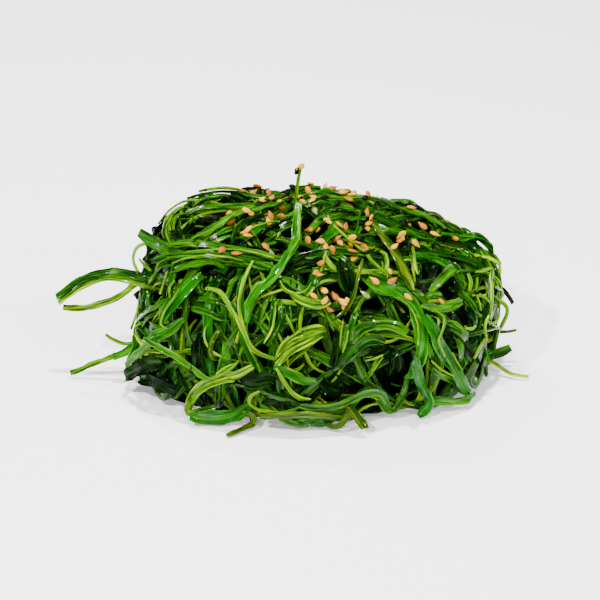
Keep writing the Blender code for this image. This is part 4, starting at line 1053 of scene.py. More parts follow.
@dataclass(frozen=True)
class Sprigs:
    """The strips and threads that stand out of the heap."""

    bed: Bed
    view: FrontView
    step: float = 2.5 * MM
    floor_gap: float = 0.4 * MM

    def strip(self, name: str, tone: Tone, width: float, places: Route) -> Strip:
        """One sprig.

        Args:
            name: what it is called.
            tone: its colour family.
            width: its width in mm.
            places: the points that it passes, in mm.

        Returns:
            The sprig.
        """
        points = evenly(rounded_through(np.array(places, float) * MM, 12), self.step)
        normals = unit(self.bed.normals(points) + 0.35 * UP - 0.9 * self.view.sight)
        half_widths = tapered(len(points), width * MM, 0.85)
        strip = Strip(name, build_of(tone, width), tone, points, normals, half_widths, min(1.0, width) * MM / 2)
        strip.keep_off_floor(self.floor_gap)
        return strip


class Wire:
    """A node's output, with Python's operators adding Math and Vector Math nodes to it."""

    def __init__(self, maker: "NodeMaker", socket: bpy.types.NodeSocket) -> None:
        """Keeps the socket and the maker of its tree."""
        self.maker = maker
        self.socket = socket

    def _joined(self, operation: str, first: "Operand", second: "Operand") -> "Wire":
        """Two operands through a Math node, or through Vector Math where one is a vector.

        Args:
            operation: the node's operation.
            first: its first operand.
            second: its second operand.

        Returns:
            The node's output.
        """
        vectors = any(
            isinstance(part, tuple) or (isinstance(part, Wire) and part.socket.type == "VECTOR")
            for part in (first, second)
        )
        node = "ShaderNodeVectorMath" if vectors else "ShaderNodeMath"
        return self.maker.add(node, {"operation": operation}, {0: first, 1: second})

    def __add__(self, other: "Operand") -> "Wire":
        """The sum."""
        return self._joined("ADD", self, other)

    __radd__ = __add__

    def __sub__(self, other: "Operand") -> "Wire":
        """The difference."""
        return self._joined("SUBTRACT", self, other)

    def __rsub__(self, other: "Operand") -> "Wire":
        """The difference from a plain value."""
        return self._joined("SUBTRACT", other, self)

    def __mul__(self, other: "Operand") -> "Wire":
        """The product."""
        return self._joined("MULTIPLY", self, other)

    __rmul__ = __mul__

    def __truediv__(self, other: "Operand") -> "Wire":
        """The quotient."""
        return self._joined("DIVIDE", self, other)

    def __pow__(self, other: "Operand") -> "Wire":
        """The power."""
        return self._joined("POWER", self, other)

    def sine(self) -> "Wire":
        """The sine."""
        return self.maker.add("ShaderNodeMath", {"operation": "SINE"}, {0: self})

    def cosine(self) -> "Wire":
        """The cosine."""
        return self.maker.add("ShaderNodeMath", {"operation": "COSINE"}, {0: self})

    def size(self) -> "Wire":
        """The value without its sign."""
        return self.maker.add("ShaderNodeMath", {"operation": "ABSOLUTE"}, {0: self})

    def step(self, low: float, high: float) -> "Wire":
        """A smooth step from 0 at low to 1 at high."""
        settings = {"interpolation_type": "SMOOTHSTEP"}
        return self.maker.add("ShaderNodeMapRange", settings, {0: self, 1: low, 2: high})


Operand = Wire | float | int | tuple


class NodeMaker:
    """Adds nodes to a tree."""

    def __init__(self, tree: bpy.types.NodeTree) -> None:
        """Works on one node tree."""
        self.tree = tree

    def node(self, kind: str, settings: dict, inputs: dict) -> bpy.types.Node:
        """A new node.

        Args:
            kind: the node's type.
            settings: its properties, which are set first.
            inputs: the value or the wire of each of its sockets, by name or by place.

        Returns:
            The node.
        """
        node = self.tree.nodes.new(kind)
        for name, value in settings.items():
            setattr(node, name, value)
        for key, value in inputs.items():
            socket = node.inputs[key]
            if isinstance(value, Wire):
                self.tree.links.new(value.socket, socket)
            elif isinstance(value, (int, float)) and socket.type == "VECTOR":
                socket.default_value = (value,) * 3
            else:
                socket.default_value = value
        return node

    def add(self, kind: str, settings: dict, inputs: dict, output: int | str = 0) -> Wire:
        """A new node's output."""
        return Wire(self, self.node(kind, settings, inputs).outputs[output])

    def number(self, name: str) -> Wire:
        """A number stored on the piece's points, for a material."""
        return self.add("ShaderNodeAttribute", {"attribute_name": name}, {}, "Fac")

    def noise(self, place: Wire, scale: float, detail: float = 3.0, rough: float = 0.55) -> Wire:
        """A smooth noise from 0 to 1."""
        fed = {"Vector": place, "Scale": scale, "Detail": detail, "Roughness": rough}
        return self.add("ShaderNodeTexNoise", {}, fed)

    def vector(self, x: Operand, y: Operand, z: Operand) -> Wire:
        """Three numbers as a vector."""
        return self.add("ShaderNodeCombineXYZ", {}, {0: x, 1: y, 2: z})

    def mixed(self, share: Operand, first: Operand, second: Operand) -> Wire:
        """Two colours mixed."""
        return self.add("ShaderNodeMix", {"data_type": "RGBA"}, {0: share, 6: first, 7: second}, 2)

    def shade(self, varying: dict[str, Wire], constant: dict[str, object]) -> None:
        """Feeds a material's shader.

        Args:
            varying: what changes over the surface, by socket.
            constant: what is set on the shader's own sockets.
        """
        shader = self.tree.nodes["Principled BSDF"]
        for name, wire in varying.items():
            self.tree.links.new(wire.socket, shader.inputs[name])
        for name, value in constant.items():
            shader.inputs[name].default_value = value


def blank_finish(name: str) -> tuple[bpy.types.Material, NodeMaker]:
    """A new material with nodes.

    Args:
        name: the material's name.

    Returns:
        The material, and what adds nodes to it.
    """
    made = bpy.data.materials.new(name)
    made.use_nodes = True
    return made, NodeMaker(made.node_tree)


class Sweep:
    """Ribbons swept along courses by Geometry Nodes, with their cross-section worked out in the tree."""

    def __init__(self, spacing: float) -> None:
        """Builds the tree.

        Args:
            spacing: how far apart the cross-sections stand, in metres.
        """
        self.spacing = spacing
        self.tree = bpy.data.node_groups.new("ribbon_sweep", "GeometryNodeTree")
        self.sockets: dict[str, str] = {}
        for name, kind, default in (
            ("Courses", "NodeSocketGeometry", None),
            ("Sides", "NodeSocketInt", 10),
            ("Cup", "NodeSocketFloat", 0.2),
            ("Groove", "NodeSocketFloat", 0.2),
            ("Ridges", "NodeSocketFloat", 2.0),
            ("Ridge Depth", "NodeSocketFloat", 0.2),
            ("Twist", "NodeSocketFloat", 1.0),
            ("Wander", "NodeSocketFloat", 0.3 * MM),
            ("Ruffle", "NodeSocketFloat", 0.0),
            ("Ruffle Length", "NodeSocketFloat", 6 * MM),
            ("Lumpiness", "NodeSocketFloat", 0.1),
            ("Material", "NodeSocketMaterial", None),
        ):
            socket = self.tree.interface.new_socket(name, in_out="INPUT", socket_type=kind)
            if default is not None:
                socket.default_value = default
            self.sockets[name] = socket.identifier
        self.tree.interface.new_socket("Ribbons", in_out="OUTPUT", socket_type="NodeSocketGeometry")
        self._wire_up(NodeMaker(self.tree))

    def _wire_up(self, make: NodeMaker) -> None:
        """Adds the tree's nodes.

        Args:
            make: what adds them.
        """
        entry = make.node("NodeGroupInput", {}, {})
        given = {name: Wire(make, entry.outputs[name]) for name in self.sockets}
        kept = make.add(
            "GeometryNodeStoreNamedAttribute", {"data_type": "FLOAT_VECTOR", "domain": "POINT"},
            {"Geometry": given["Courses"], "Name": "middle", "Value": self._position(make)},
        )
        curve = make.add("GeometryNodeMeshToCurve", {}, {0: kept})
        profile = make.add("GeometryNodeCurvePrimitiveCircle", {}, {"Resolution": given["Sides"], "Radius": 1.0})
        for name, axis in (("across", "X"), ("above", "Y")):
            part = make.add("ShaderNodeSeparateXYZ", {}, {0: self._position(make)}, axis)
            profile = make.add(
                "GeometryNodeStoreNamedAttribute", {"data_type": "FLOAT", "domain": "POINT"},
                {"Geometry": profile, "Name": name, "Value": part},
            )
        swept = make.add(
            "GeometryNodeCurveToMesh", {}, {"Curve": curve, "Profile Curve": profile, "Fill Caps": True}
        )
        placed = make.add("GeometryNodeSetPosition", {}, {"Geometry": swept, "Position": self._section(make, given)})
        smooth = make.add("GeometryNodeSetShadeSmooth", {}, {0: placed, "Shade Smooth": True})
        real = make.add("GeometryNodeRealizeInstances", {}, {0: smooth})
        dressed = make.add("GeometryNodeSetMaterial", {}, {"Geometry": real, "Material": given["Material"]})
        make.node("NodeGroupOutput", {}, {0: dressed})

    @staticmethod
    def _position(make: NodeMaker) -> Wire:
        """Where each point is."""
        return make.add("GeometryNodeInputPosition", {}, {})

    @staticmethod
    def _stored(make: NodeMaker, name: str, kind: str = "FLOAT") -> Wire:
        """A value stored on the points."""
        return make.add("GeometryNodeInputNamedAttribute", {"data_type": kind}, {"Name": name})

    def _section(self, make: NodeMaker, given: dict[str, Wire]) -> Wire:
        """Where each point of a cross-section goes: cupped, grooved along its back, ruffled at its edges.

        Args:
            make: what adds the nodes.
            given: the tree's inputs by name.

        Returns:
            The points' positions.
        """
        across, above = self._stored(make, "across"), self._stored(make, "above")
        half_width, half_thickness = self._stored(make, "half_width"), self._stored(make, "half_thickness")
        along, phase = self._stored(make, "along"), self._stored(make, "phase")
        middle = self._stored(make, "middle", "FLOAT_VECTOR")
        side = self._stored(make, "side_way", "FLOAT_VECTOR")
        out = self._stored(make, "out_way", "FLOAT_VECTOR")
        turn = (make.noise(make.vector(along * 75, phase * 61, 0.0), 1.0, 2.0) - 0.5) * given["Twist"]
        side, out = side * turn.cosine() + out * turn.sine(), out * turn.cosine() - side * turn.sine()
        drift = make.noise(make.vector(along * 110, phase * 83, 0.0), 1.0, 2.0) - 0.5
        rise = make.noise(make.vector(along * 110, phase * 47, 3.0), 1.0, 2.0) - 0.5
        middle = middle + side * (drift * given["Wander"] * 4) + out * (rise.size() * given["Wander"] * 3)
        waves = (along / given["Ruffle Length"] * (2 * math.pi) + phase * 40 + across * 0.9).sine()
        slow = (along / given["Ruffle Length"] * 2.3 + phase * 90).sine()
        edge = across * across
        lumps = make.noise(make.vector(along * 260, across * 0.8 + phase * 50, above * 0.6), 1.0, 2.0)
        wide = half_width * (1 + (lumps - 0.5) * given["Lumpiness"] * 1.6)
        groove = 1 - given["Groove"] * (1 - edge).size() ** 2
        ridged = (across * given["Ridges"] * math.pi + phase * 9 + lumps * 3).sine()
        thick = half_thickness * (groove + ridged * given["Ridge Depth"])
        thick = thick * (1 + (lumps - 0.5) * given["Lumpiness"] * 2)
        lean = given["Cup"] * (0.55 + 0.45 * slow)
        lift = lean * edge * half_width + given["Ruffle"] * edge * waves * (across * 0.35 + 0.8)
        pull = 1 - edge * lean.size() * 0.25
        return middle + side * (wide * across * pull) + out * (thick * above + lift)

    def courses(self, name: str, strips: Iterable[Strip]) -> bpy.types.Object:
        """The strips' courses as lines, with what the sweep reads stored on their points.

        Args:
            name: the object's name.
            strips: the strips.

        Returns:
            One object of lines.
        """
        rows: dict[str, list[Array]] = {key: [] for key in ("places", "side_way", "out_way")}
        numbers: dict[str, list[Array]] = {
            key: [] for key in ("half_width", "half_thickness", "along", "phase", "shade")
        }
        edges: list[tuple[int, int]] = []
        total = 0
        for strip in strips:
            fine = strip.finer(self.spacing)
            count = len(fine.points)
            rng = random.Random(strip.name)
            rows["places"].append(fine.points + HEAP_SHIFT)
            rows["side_way"].append(fine.sides)
            rows["out_way"].append(fine.normals)
            lengths = np.linalg.norm(np.diff(fine.points, axis=0), axis=1)
            along = np.concatenate(((0,), np.cumsum(lengths)))
            numbers["half_width"].append(fine.half_widths)
            numbers["half_thickness"].append(np.full(count, fine.half_thickness))
            numbers["along"].append(along)
            numbers["phase"].append(np.full(count, rng.random()))
            numbers["shade"].append(np.full(count, fine.shade))
            edges.extend((total + place, total + place + 1) for place in range(count - 1))
            total += count
        mesh = bpy.data.meshes.new(name)
        mesh.from_pydata(np.concatenate(rows["places"]).tolist(), edges, [])
        for key in ("side_way", "out_way"):
            layer = mesh.attributes.new(key, "FLOAT_VECTOR", "POINT")
            layer.data.foreach_set("vector", np.concatenate(rows[key]).ravel())
        for key, values in numbers.items():
            layer = mesh.attributes.new(key, "FLOAT", "POINT")
            layer.data.foreach_set("value", np.concatenate(values))
        return linked(name, mesh)

    def piece(self, name: str, strips: Iterable[Strip], sizes: dict, material: bpy.types.Material) -> bpy.types.Object:
        """The strips swept into one piece.

        Args:
            name: the piece's name.
            strips: the strips it holds.
            sizes: the sweep's named inputs.
            material: the ribbons' finish.

        Returns:
            The piece, a plain mesh at the origin.
        """
        guide = self.courses(name + "_courses", strips)
        modifier = guide.modifiers.new("sweep", "NODES")
        modifier.node_group = self.tree
        for key, value in {**sizes, "Material": material}.items():
            modifier[self.sockets[key]] = value
        return plain(name, guide)


def plain(name: str, guide: bpy.types.Object) -> bpy.types.Object:
    """Turns a guide's evaluated mesh into a piece, and removes the guide.

    Args:
        name: the piece's name.
        guide: the object with the Geometry Nodes modifier.

    Returns:
        The piece.
    """
    graph = bpy.context.evaluated_depsgraph_get()
    mesh = bpy.data.meshes.new_from_object(guide.evaluated_get(graph))
    mesh.name = name
    bpy.data.objects.remove(guide)
    shape = bmesh.new()
    shape.from_mesh(mesh)
    bmesh.ops.recalc_face_normals(shape, faces=shape.faces)
    shape.to_mesh(mesh)
    shape.free()
    return linked(name, mesh)


SECTIONS: dict[Build, dict] = {
    Build.STEM: {
        "Sides": 18, "Cup": 0.25, "Groove": 0.35, "Ridges": 2.4, "Ridge Depth": 0.3, "Twist": 2.2,
        "Wander": 0.3 * MM, "Ruffle": 0.15 * MM, "Lumpiness": 0.4,
    },
    Build.BLADE: {
        "Sides": 20, "Cup": 0.9, "Groove": 0.2, "Ridges": 3.2, "Ridge Depth": 0.3, "Twist": 1.8,
        "Wander": 0.3 * MM, "Ruffle": 0.35 * MM, "Lumpiness": 0.4,
    },
    Build.THREAD: {
        "Sides": 8, "Cup": 0.25, "Groove": 0.3, "Ridges": 1.0, "Ridge Depth": 0.15, "Twist": 2.0,
        "Wander": 0.35 * MM, "Ruffle": 0.1 * MM, "Lumpiness": 0.45,
    },
    Build.FRILL: {
        "Sides": 18, "Cup": 0.8, "Groove": 0.2, "Ridges": 2.6, "Ridge Depth": 0.35, "Twist": 2.2,
        "Wander": 0.4 * MM, "Ruffle": 0.8 * MM, "Lumpiness": 0.6,
    },
}

# The strips that are drawn in the front view lie calmer than the rest.
CALM = {"Twist": 0.9, "Wander": 0.12 * MM, "Lumpiness": 0.25}


@dataclass(frozen=True)
class WeedFinish:
    """Wet wakame: streaked along its length, glossy with dressing, its thin edges painted paler and yellower as light
    shining through them, and strips buried in the heap darkened with painted shade.
    """

    name: str
    deep: Colour
    body: Colour
    warm: Colour
    pale: Colour
    paleness: float
    roughness: float = 0.09
    glow: float = 0.2
    shine: float = 0.2
    wet: float = 0.6
    softness: float = 0.16
    relief: float = 0.5
    # How dark the painted shade of buried strips gets, as a share of the deep colour.
    buried: float = 0.12

    def material(self) -> bpy.types.Material:
        """The finish as a material.

        Returns:
            The material.
        """
        made, make = blank_finish(self.name)
        across, along, phase = make.number("across"), make.number("along"), make.number("phase")
        wide, shade = make.number("half_width"), make.number("shade")
        streaks = make.noise(make.vector(along * 95, across * wide * 1500, phase * 57), 1.0, 4.0, 0.65)
        fibres = make.noise(make.vector(along * 210, across * wide * 4600, phase * 91), 1.0, 2.0)
        blotches = make.noise(make.vector(along * 120, across * 0.8, phase * 33), 1.0, 3.0)
        pits = make.noise(make.vector(along * 900, across * wide * 900, phase * 71), 1.0, 2.0)
        # Painted light: the thin edges are painted paler, standing in for light shining through them.
        edge = across.size().step(0.6, 1.0) * (0.5 + across * (phase * 40).sine() * 0.6)
        depth = (streaks * 1.0 + blotches * 0.45 + fibres * 0.5).step(1.0 - self.softness, 1.0 + self.softness)
        body = make.mixed((phase * 0.55 + blotches * 0.8).step(0.4, 0.9), (*self.body, 1.0), (*self.warm, 1.0))
        colour = make.mixed(depth, (*self.deep, 1.0), body)
        # The pale colour is partly the weed's own lighter fibres and streaks, and partly the painted light at the
        # edges.
        pale = edge * (blotches * 1.8 - 0.65) + (fibres - 0.5) * 1.5 + (streaks - 0.5) * 2.4
        colour = make.mixed((pale * self.paleness).step(0.05, 1.15), colour, (*self.pale, 1.0))
        # Painted shade: strips buried in the heap are mixed towards a darkened deep colour, by their shade.
        colour = make.mixed(1 - shade, colour, (*(self.buried * part for part in self.deep), 1.0))
        rough = self.roughness + (blotches - 0.5) * 0.12
        film = make.noise(make.vector(along * 240, across * wide * 900, phase * 19), 1.0, 1.0)
        relief = streaks * 0.7 + fibres * 0.5 + pits * 0.45
        bump = make.add(
            "ShaderNodeBump", {}, {"Strength": self.relief, "Distance": 0.4 * self.relief * MM, "Height": relief}
        )
        make.shade(
            {
                "Base Color": colour, "Roughness": rough, "Coat Weight": film.step(0.54, 0.62) * self.wet,
                "Normal": bump,
            },
            {
                "Subsurface Weight": self.glow, "Subsurface Radius": (0.35, 1.0, 0.12),
                "Subsurface Scale": 1.0 * MM, "IOR": 1.33, "Specular IOR Level": self.shine,
                "Specular Tint": (0.90, 1.0, 0.66, 1.0), "Coat Roughness": 0.06, "Coat IOR": 1.36,
            },
        )
        return made


WEEDS = {
    Tone.GREEN: WeedFinish(
        "stem_green", (0.0006, 0.011, 0.0002), (0.007, 0.086, 0.0006), (0.027, 0.130, 0.0004),
        (0.095, 0.300, 0.002), 0.9,
    ),
    Tone.BRIGHT: WeedFinish(
        "bright_blade", (0.0006, 0.024, 0.0004), (0.005, 0.145, 0.0016), (0.048, 0.205, 0.0006),
        (0.075, 0.380, 0.004), 0.8, softness=0.3,
    ),
    Tone.LIME: WeedFinish(
        "lime_thread", (0.003, 0.026, 0.0002), (0.066, 0.200, 0.0006), (0.120, 0.260, 0.0008),
        (0.340, 0.520, 0.004), 1.2, wet=0.35, softness=0.2,
    ),
    Tone.OLIVE: WeedFinish(
        "olive_strip", (0.004, 0.018, 0.0002), (0.028, 0.080, 0.0004), (0.050, 0.095, 0.0005),
        (0.150, 0.230, 0.003), 0.8,
    ),
    Tone.DARK: WeedFinish(
        "dark_frond", (0.0001, 0.0016, 0.0001), (0.0006, 0.0085, 0.0002), (0.003, 0.018, 0.0002),
        (0.020, 0.110, 0.0012), 0.8, 0.09, 0.0, 0.04, 0.2, relief=1.0,
    ),
}
PALE_THREADS = WeedFinish(
    "pale_thread", (0.018, 0.080, 0.0004), (0.110, 0.290, 0.0008), (0.200, 0.370, 0.0010),
    (0.420, 0.570, 0.004), 1.2, shine=0.06, wet=0.25, softness=0.25,
)


@dataclass(frozen=True)
class ShadeDepthFinish:
    """The inside of the tangle, seen between the strips: nearly black with painted shade, wet."""

    name: str = "tangle_depth"
    deep: Colour = (0.0002, 0.0010, 0.0001)
    weed: Colour = (0.0008, 0.0060, 0.0003)

    def material(self) -> bpy.types.Material:
        """The finish as a material.

        Returns:
            The material.
        """
        made, make = blank_finish(self.name)
        place = make.add("ShaderNodeTexCoord", {}, {}, "Object")
        patches = make.noise(place, 220.0, 4.0)
        colour = make.mixed(patches.step(0.45, 0.75), (*self.deep, 1.0), (*self.weed, 1.0))
        bump = make.add("ShaderNodeBump", {}, {"Strength": 0.8, "Distance": 0.6 * MM, "Height": patches})
        make.shade({"Base Color": colour, "Normal": bump}, {"Roughness": 0.8, "Specular IOR Level": 0.02})
        return made


@dataclass(frozen=True)
class SeedFinish:
    """A sesame seed's skin: darker towards its point, with a faint oily sheen."""

    name: str
    body: Colour
    warm: Colour
    tip: Colour
    roughness: float
    sheen_coat: float = 0.2
    shine: float = 0.3

    def material(self) -> bpy.types.Material:
        """The finish as a material.

        Returns:
            The material.
        """
        made, make = blank_finish(self.name)
        place = make.add("ShaderNodeTexCoord", {}, {}, "Object")
        mottle = make.noise(place, 900.0, 3.0)
        phase, lengthwise = make.number("phase"), make.number("lengthwise")
        warmth = (phase * 0.9 + (mottle - 0.5) * 0.7).step(0.1, 0.8)
        colour = make.mixed(warmth, (*self.body, 1.0), (*self.warm, 1.0))
        colour = make.mixed(lengthwise.step(0.45, 1.0) * 0.7, colour, (*self.tip, 1.0))
        bump = make.add("ShaderNodeBump", {}, {"Strength": 0.4, "Distance": 0.08 * MM, "Height": mottle})
        make.shade(
            {"Base Color": colour, "Normal": bump},
            {
                "Roughness": self.roughness, "Coat Weight": self.sheen_coat, "Coat Roughness": 0.2,
                "Subsurface Weight": 0.15, "Subsurface Scale": 0.6 * MM, "Specular IOR Level": self.shine,
            },
        )
        return made


SEED_FINISHES = (
    SeedFinish("tan_sesame", (0.60, 0.28, 0.010), (0.26, 0.080, 0.003), (0.15, 0.042, 0.002), 0.5, 0.06, 0.12),
    SeedFinish("black_sesame", (0.0012, 0.0006, 0.001), (0.003, 0.001, 0.0015), (0.0006, 0.0004, 0.0005), 0.5, 0, 0.05),
    SeedFinish("green_sesame", (0.16, 0.22, 0.05), (0.10, 0.16, 0.02), (0.22, 0.24, 0.08), 0.3),
)
SEED_SLOTS = ("tan_sesame", "black_sesame", "tan_sesame")

# Where the sesame seeds lie in the front view: (across, up) in mm.
TAN_SPOTS = (
    (-15.8, 43.7), (-11.3, 43.5), (-12.7, 41.7), (-19.7, 39.4), (-17.5, 39), (-16.3, 38.2), (-22.1, 38.5),
    (-21.7, 36.1), (-11.3, 37.6), (-8.2, 39.7), (-8.1, 37.6), (-11.7, 36.2), (-16.8, 34), (-18.1, 32.9),
    (-17.1, 32.1), (-12.3, 28.9), (-24.1, 28.2), (-20, 27.3), (-8.9, 27.6), (-2.3, 41.1), (-0.5, 46),
    (2.8, 46.2), (-0.7, 44.1), (0.3, 42.5), (5.6, 44.7), (7.5, 44.5), (8.4, 43.7), (10.9, 43.1),
    (14.8, 43.2), (-1.5, 35.1), (-0.9, 33.7), (4.3, 36), (7.3, 35), (8.9, 34.7), (3.9, 33.9), (2.6, 32.7),
    (1.8, 34.5), (-1.9, 31.5), (-0.8, 30.7), (1.9, 30.7), (3.8, 29.2), (5.4, 28.6), (6.9, 31.5),
    (7.7, 30.2), (9.9, 29.8), (10.7, 31.7), (12, 30.1), (13.8, 29.4), (10.9, 28), (11.3, 26.2),
    (14.6, 38.4), (15.4, 37.4), (15.2, 35.6), (14.8, 33.9), (25.8, 35.4), (21.1, 31.7), (23.6, 32.7),
    (24.2, 31.5), (23.4, 30.5), (22.2, 29.4), (27.7, 30.1), (20.5, 22.5), (16.5, 20.3), (21.4, 20.3),
    (25.7, 16), (2.6, 24.9), (0.9, 22.3), (2.1, 21.7), (3, 17.8), (7.1, 17), (0.5, 16), (3.6, 14.9),
    (7.5, 15.1), (8.1, 13.7), (4.4, 12.5), (9.5, 14.5), (7.3, 8), (32.8, 32.5), (38.1, 32), (29.3, 34.9),
    (34.1, 14.7),
)
BLACK_SPOTS = (
    (-14.4, 44.1), (-12.3, 44.3), (-6, 41.7), (-4.8, 45.2), (-12.7, 39.4), (-10.7, 39.2), (-24.2, 37.6),
    (-25.4, 37.2), (-27.8, 35.4), (-27.5, 37), (-5.8, 31.9), (6.5, 40.7), (7.9, 46.4), (14.4, 44.7),
    (14.2, 42.3), (3.4, 42.3), (13.4, 38.4), (13.2, 35.8), (13.4, 33.7), (13, 31.5), (16.9, 31.9),
    (0.3, 32.9), (2.8, 35.4), (24.4, 35.6), (25.8, 29.8), (13.8, 27.6), (29.5, 18), (31, 17.3),
    (28.3, 19.2),
)
GREEN_SPOTS = (
    (-10.8, 27.7), (12, 45.4), (0.9, 38.8), (14.5, 25.8), (13, 17.6), (-9.1, 32.5),
)
BACK_SEEDS = 26


@dataclass
class Sesame:
    """The sesame seeds, scattered by Geometry Nodes where they come to rest on the strips."""

    view: FrontView
    trees: list[BVHTree]
    length: float = 3.1 * MM
    width: float = 1.85 * MM
    thickness: float = 0.95 * MM
    lowest_behind: float = 12 * MM
    closest: float = 0.31
    sizes: tuple[float, float] = (0.86, 1.08)
    sunk: tuple[float, float] = (0.25, 0.5)
    tilt: float = 0.22
    spots: list[Rest] = field(default_factory=list)

    def tree(self) -> tuple[bpy.types.NodeTree, dict[str, str]]:
        """Builds the tree that scatters a seed's shape on points.

        Returns:
            The tree, and its inputs' identifiers by name.
        """
        tree = bpy.data.node_groups.new("seed_scatter", "GeometryNodeTree")
        sockets = {}
        for name, kind, default in (
            ("Spots", "NodeSocketGeometry", None),
            ("Length", "NodeSocketFloat", self.length),
            ("Width", "NodeSocketFloat", self.width),
            ("Thickness", "NodeSocketFloat", self.thickness),
            ("Material", "NodeSocketMaterial", None),
        ):
            socket = tree.interface.new_socket(name, in_out="INPUT", socket_type=kind)
            if default is not None:
                socket.default_value = default
            sockets[name] = socket.identifier
        tree.interface.new_socket("Seeds", in_out="OUTPUT", socket_type="NodeSocketGeometry")
        make = NodeMaker(tree)
        entry = make.node("NodeGroupInput", {}, {})
        given = {name: Wire(make, entry.outputs[name]) for name in sockets}
        ball = make.add("GeometryNodeMeshUVSphere", {}, {"Segments": 10, "Rings": 8, "Radius": 0.5})
        place = make.node("ShaderNodeSeparateXYZ", {}, {0: make.add("GeometryNodeInputPosition", {}, {})})
        x, y, z = (Wire(make, place.outputs[axis]) for axis in "XYZ")
        narrow = 1 - z.step(-0.15, 0.5) * 0.72
        shaped = make.vector(
            x * narrow * given["Width"], y * narrow * given["Thickness"], z * given["Length"]
        )
        seed = make.add("GeometryNodeStoreNamedAttribute", {"data_type": "FLOAT", "domain": "POINT"},
                        {"Geometry": ball, "Name": "lengthwise", "Value": z * 2})
        seed = make.add("GeometryNodeSetPosition", {}, {"Geometry": seed, "Position": shaped})
        seed = make.add("GeometryNodeSetShadeSmooth", {}, {0: seed, "Shade Smooth": True})
        facing = make.add("GeometryNodeInputNamedAttribute", {"data_type": "FLOAT_VECTOR"}, {"Name": "facing"})
        size = make.add("GeometryNodeInputNamedAttribute", {"data_type": "FLOAT"}, {"Name": "size"})
        turn = make.add("FunctionNodeEulerToRotation", {}, {0: facing})
        many = make.add(
            "GeometryNodeInstanceOnPoints", {},
            {"Points": given["Spots"], "Instance": seed, "Rotation": turn, "Scale": size},
        )
        real = make.add("GeometryNodeRealizeInstances", {}, {0: many})
        dressed = make.add("GeometryNodeSetMaterial", {}, {"Geometry": real, "Material": given["Material"]})
        make.node("NodeGroupOutput", {}, {0: dressed})
        return tree, sockets

    def settle(self, origin: Array, ray: Array) -> Rest | None:
        """Follows a line to the strips.

        Args:
            origin: where it starts.
            ray: its direction.

        Returns:
            Where it first meets them, and the surface's normal there, towards the start.
        """
        hits = [tree.ray_cast(Vector(origin), Vector(ray)) for tree in self.trees]
        hits = [hit for hit in hits if hit[3] is not None]
        if not hits:
            return None
        nearest = min(hits, key=lambda hit: hit[3])
        normal = np.array(nearest[1])
        return np.array(nearest[0]), normal if normal @ ray < 0 else -normal

    def seeds(self, spots: Iterable[tuple[float, float]]) -> list[Rest]:
        """Resting places for seeds seen in the front view, each clear of those already placed.

        Args:
            spots: where they are seen, across and up, in mm.

        Returns:
            The places, and the surface's normals there.
        """
        found = []
        for across, up in spots:
            for shift in (0.0, 0.5, -0.5, 1.0, -1.0, 1.6):
                rest = self.settle(self.view.eye, self.view.ray((across + shift) * MM, (up - abs(shift)) * MM))
                if rest is not None and not self.fallen(rest[0]) and not self.crowded(rest[0]):
                    self.spots.append(rest)
                    found.append(rest)
                    break
        return found

    def fallen(self, place: Array) -> bool:
        """Whether a place is at the foot of the far side, past the crest that the line was to meet."""
        return place[1] > 0 and place[2] < self.lowest_behind

    def crowded(self, place: Array) -> bool:
        """Whether a seed there would run into one already placed."""
        return any(np.linalg.norm(place - other) < self.closest * self.length for other, _ in self.spots)

    def back_seeds(self, rng: random.Random, count: int) -> list[Rest]:
        """Resting places over the top and the back of the heap, which the front view doesn't show.

        Args:
            rng: what they are drawn from.
            count: how many.

        Returns:
            The places, and the surface's normals there.
        """
        found = []
        while len(found) < count:
            around = rng.uniform(0.05, 0.95) * math.pi
            level = rng.uniform(0.0, 0.75)
            direction = unit(np.array((level * math.cos(around), level * math.sin(around), 1.0)))
            rest = self.settle(direction * 0.12, -direction)
            if rest is not None and not self.crowded(rest[0]):
                self.spots.append(rest)
                found.append(rest)
        return found

    def piece(self, name: str, rests: Sequence[Rest], finish: SeedFinish, rng: random.Random) -> bpy.types.Object:
        """The seeds of one colour as one piece.

        Args:
            name: the piece's name.
            rests: where they lie, and the surface's normals there.
            finish: their skin.
            rng: what their turns and sizes are drawn from.

        Returns:
            The piece.
        """
        places, turns = [], []
        for place, normal in rests:
            lean = unit(normal + np.array([rng.gauss(0, self.tilt) for _ in range(3)]) + 0.25 * UP)
            way = unit(np.cross(lean, [rng.gauss(0, 1) for _ in range(3)]))
            turns.append(tuple(facing_of(way, lean)))
            places.append(place + HEAP_SHIFT + normal * self.thickness * rng.uniform(*self.sunk))
        mesh = bpy.data.meshes.new(name)
        mesh.from_pydata([tuple(place) for place in places], [], [])
        layer = mesh.attributes.new("facing", "FLOAT_VECTOR", "POINT")
        layer.data.foreach_set("vector", np.array(turns).ravel())
        for key, values in (
            ("phase", [rng.random() for _ in places]),
            ("size", [rng.uniform(*self.sizes) for _ in places]),
        ):
            mesh.attributes.new(key, "FLOAT", "POINT").data.foreach_set("value", values)
        guide = linked(name + "_spots", mesh)
        tree, sockets = self.tree()
        modifier = guide.modifiers.new("scatter", "NODES")
        modifier.node_group = tree
        modifier[sockets["Material"]] = finish.material()
        return plain(name, guide)


def facing_of(way: Array, lean: Array) -> Sequence[float]:
    """How a seed is turned to lie on a surface.

    Args:
        way: the direction of its length.
        lean: the direction that its flat side faces.

    Returns:
        The turn's Euler angles.
    """
    across = np.cross(lean, way)
    turn = Matrix((across, lean, way)).transposed()
    if turn.determinant() < 0:
        turn = Matrix((-across, lean, way)).transposed()
    return turn.to_euler("XYZ")


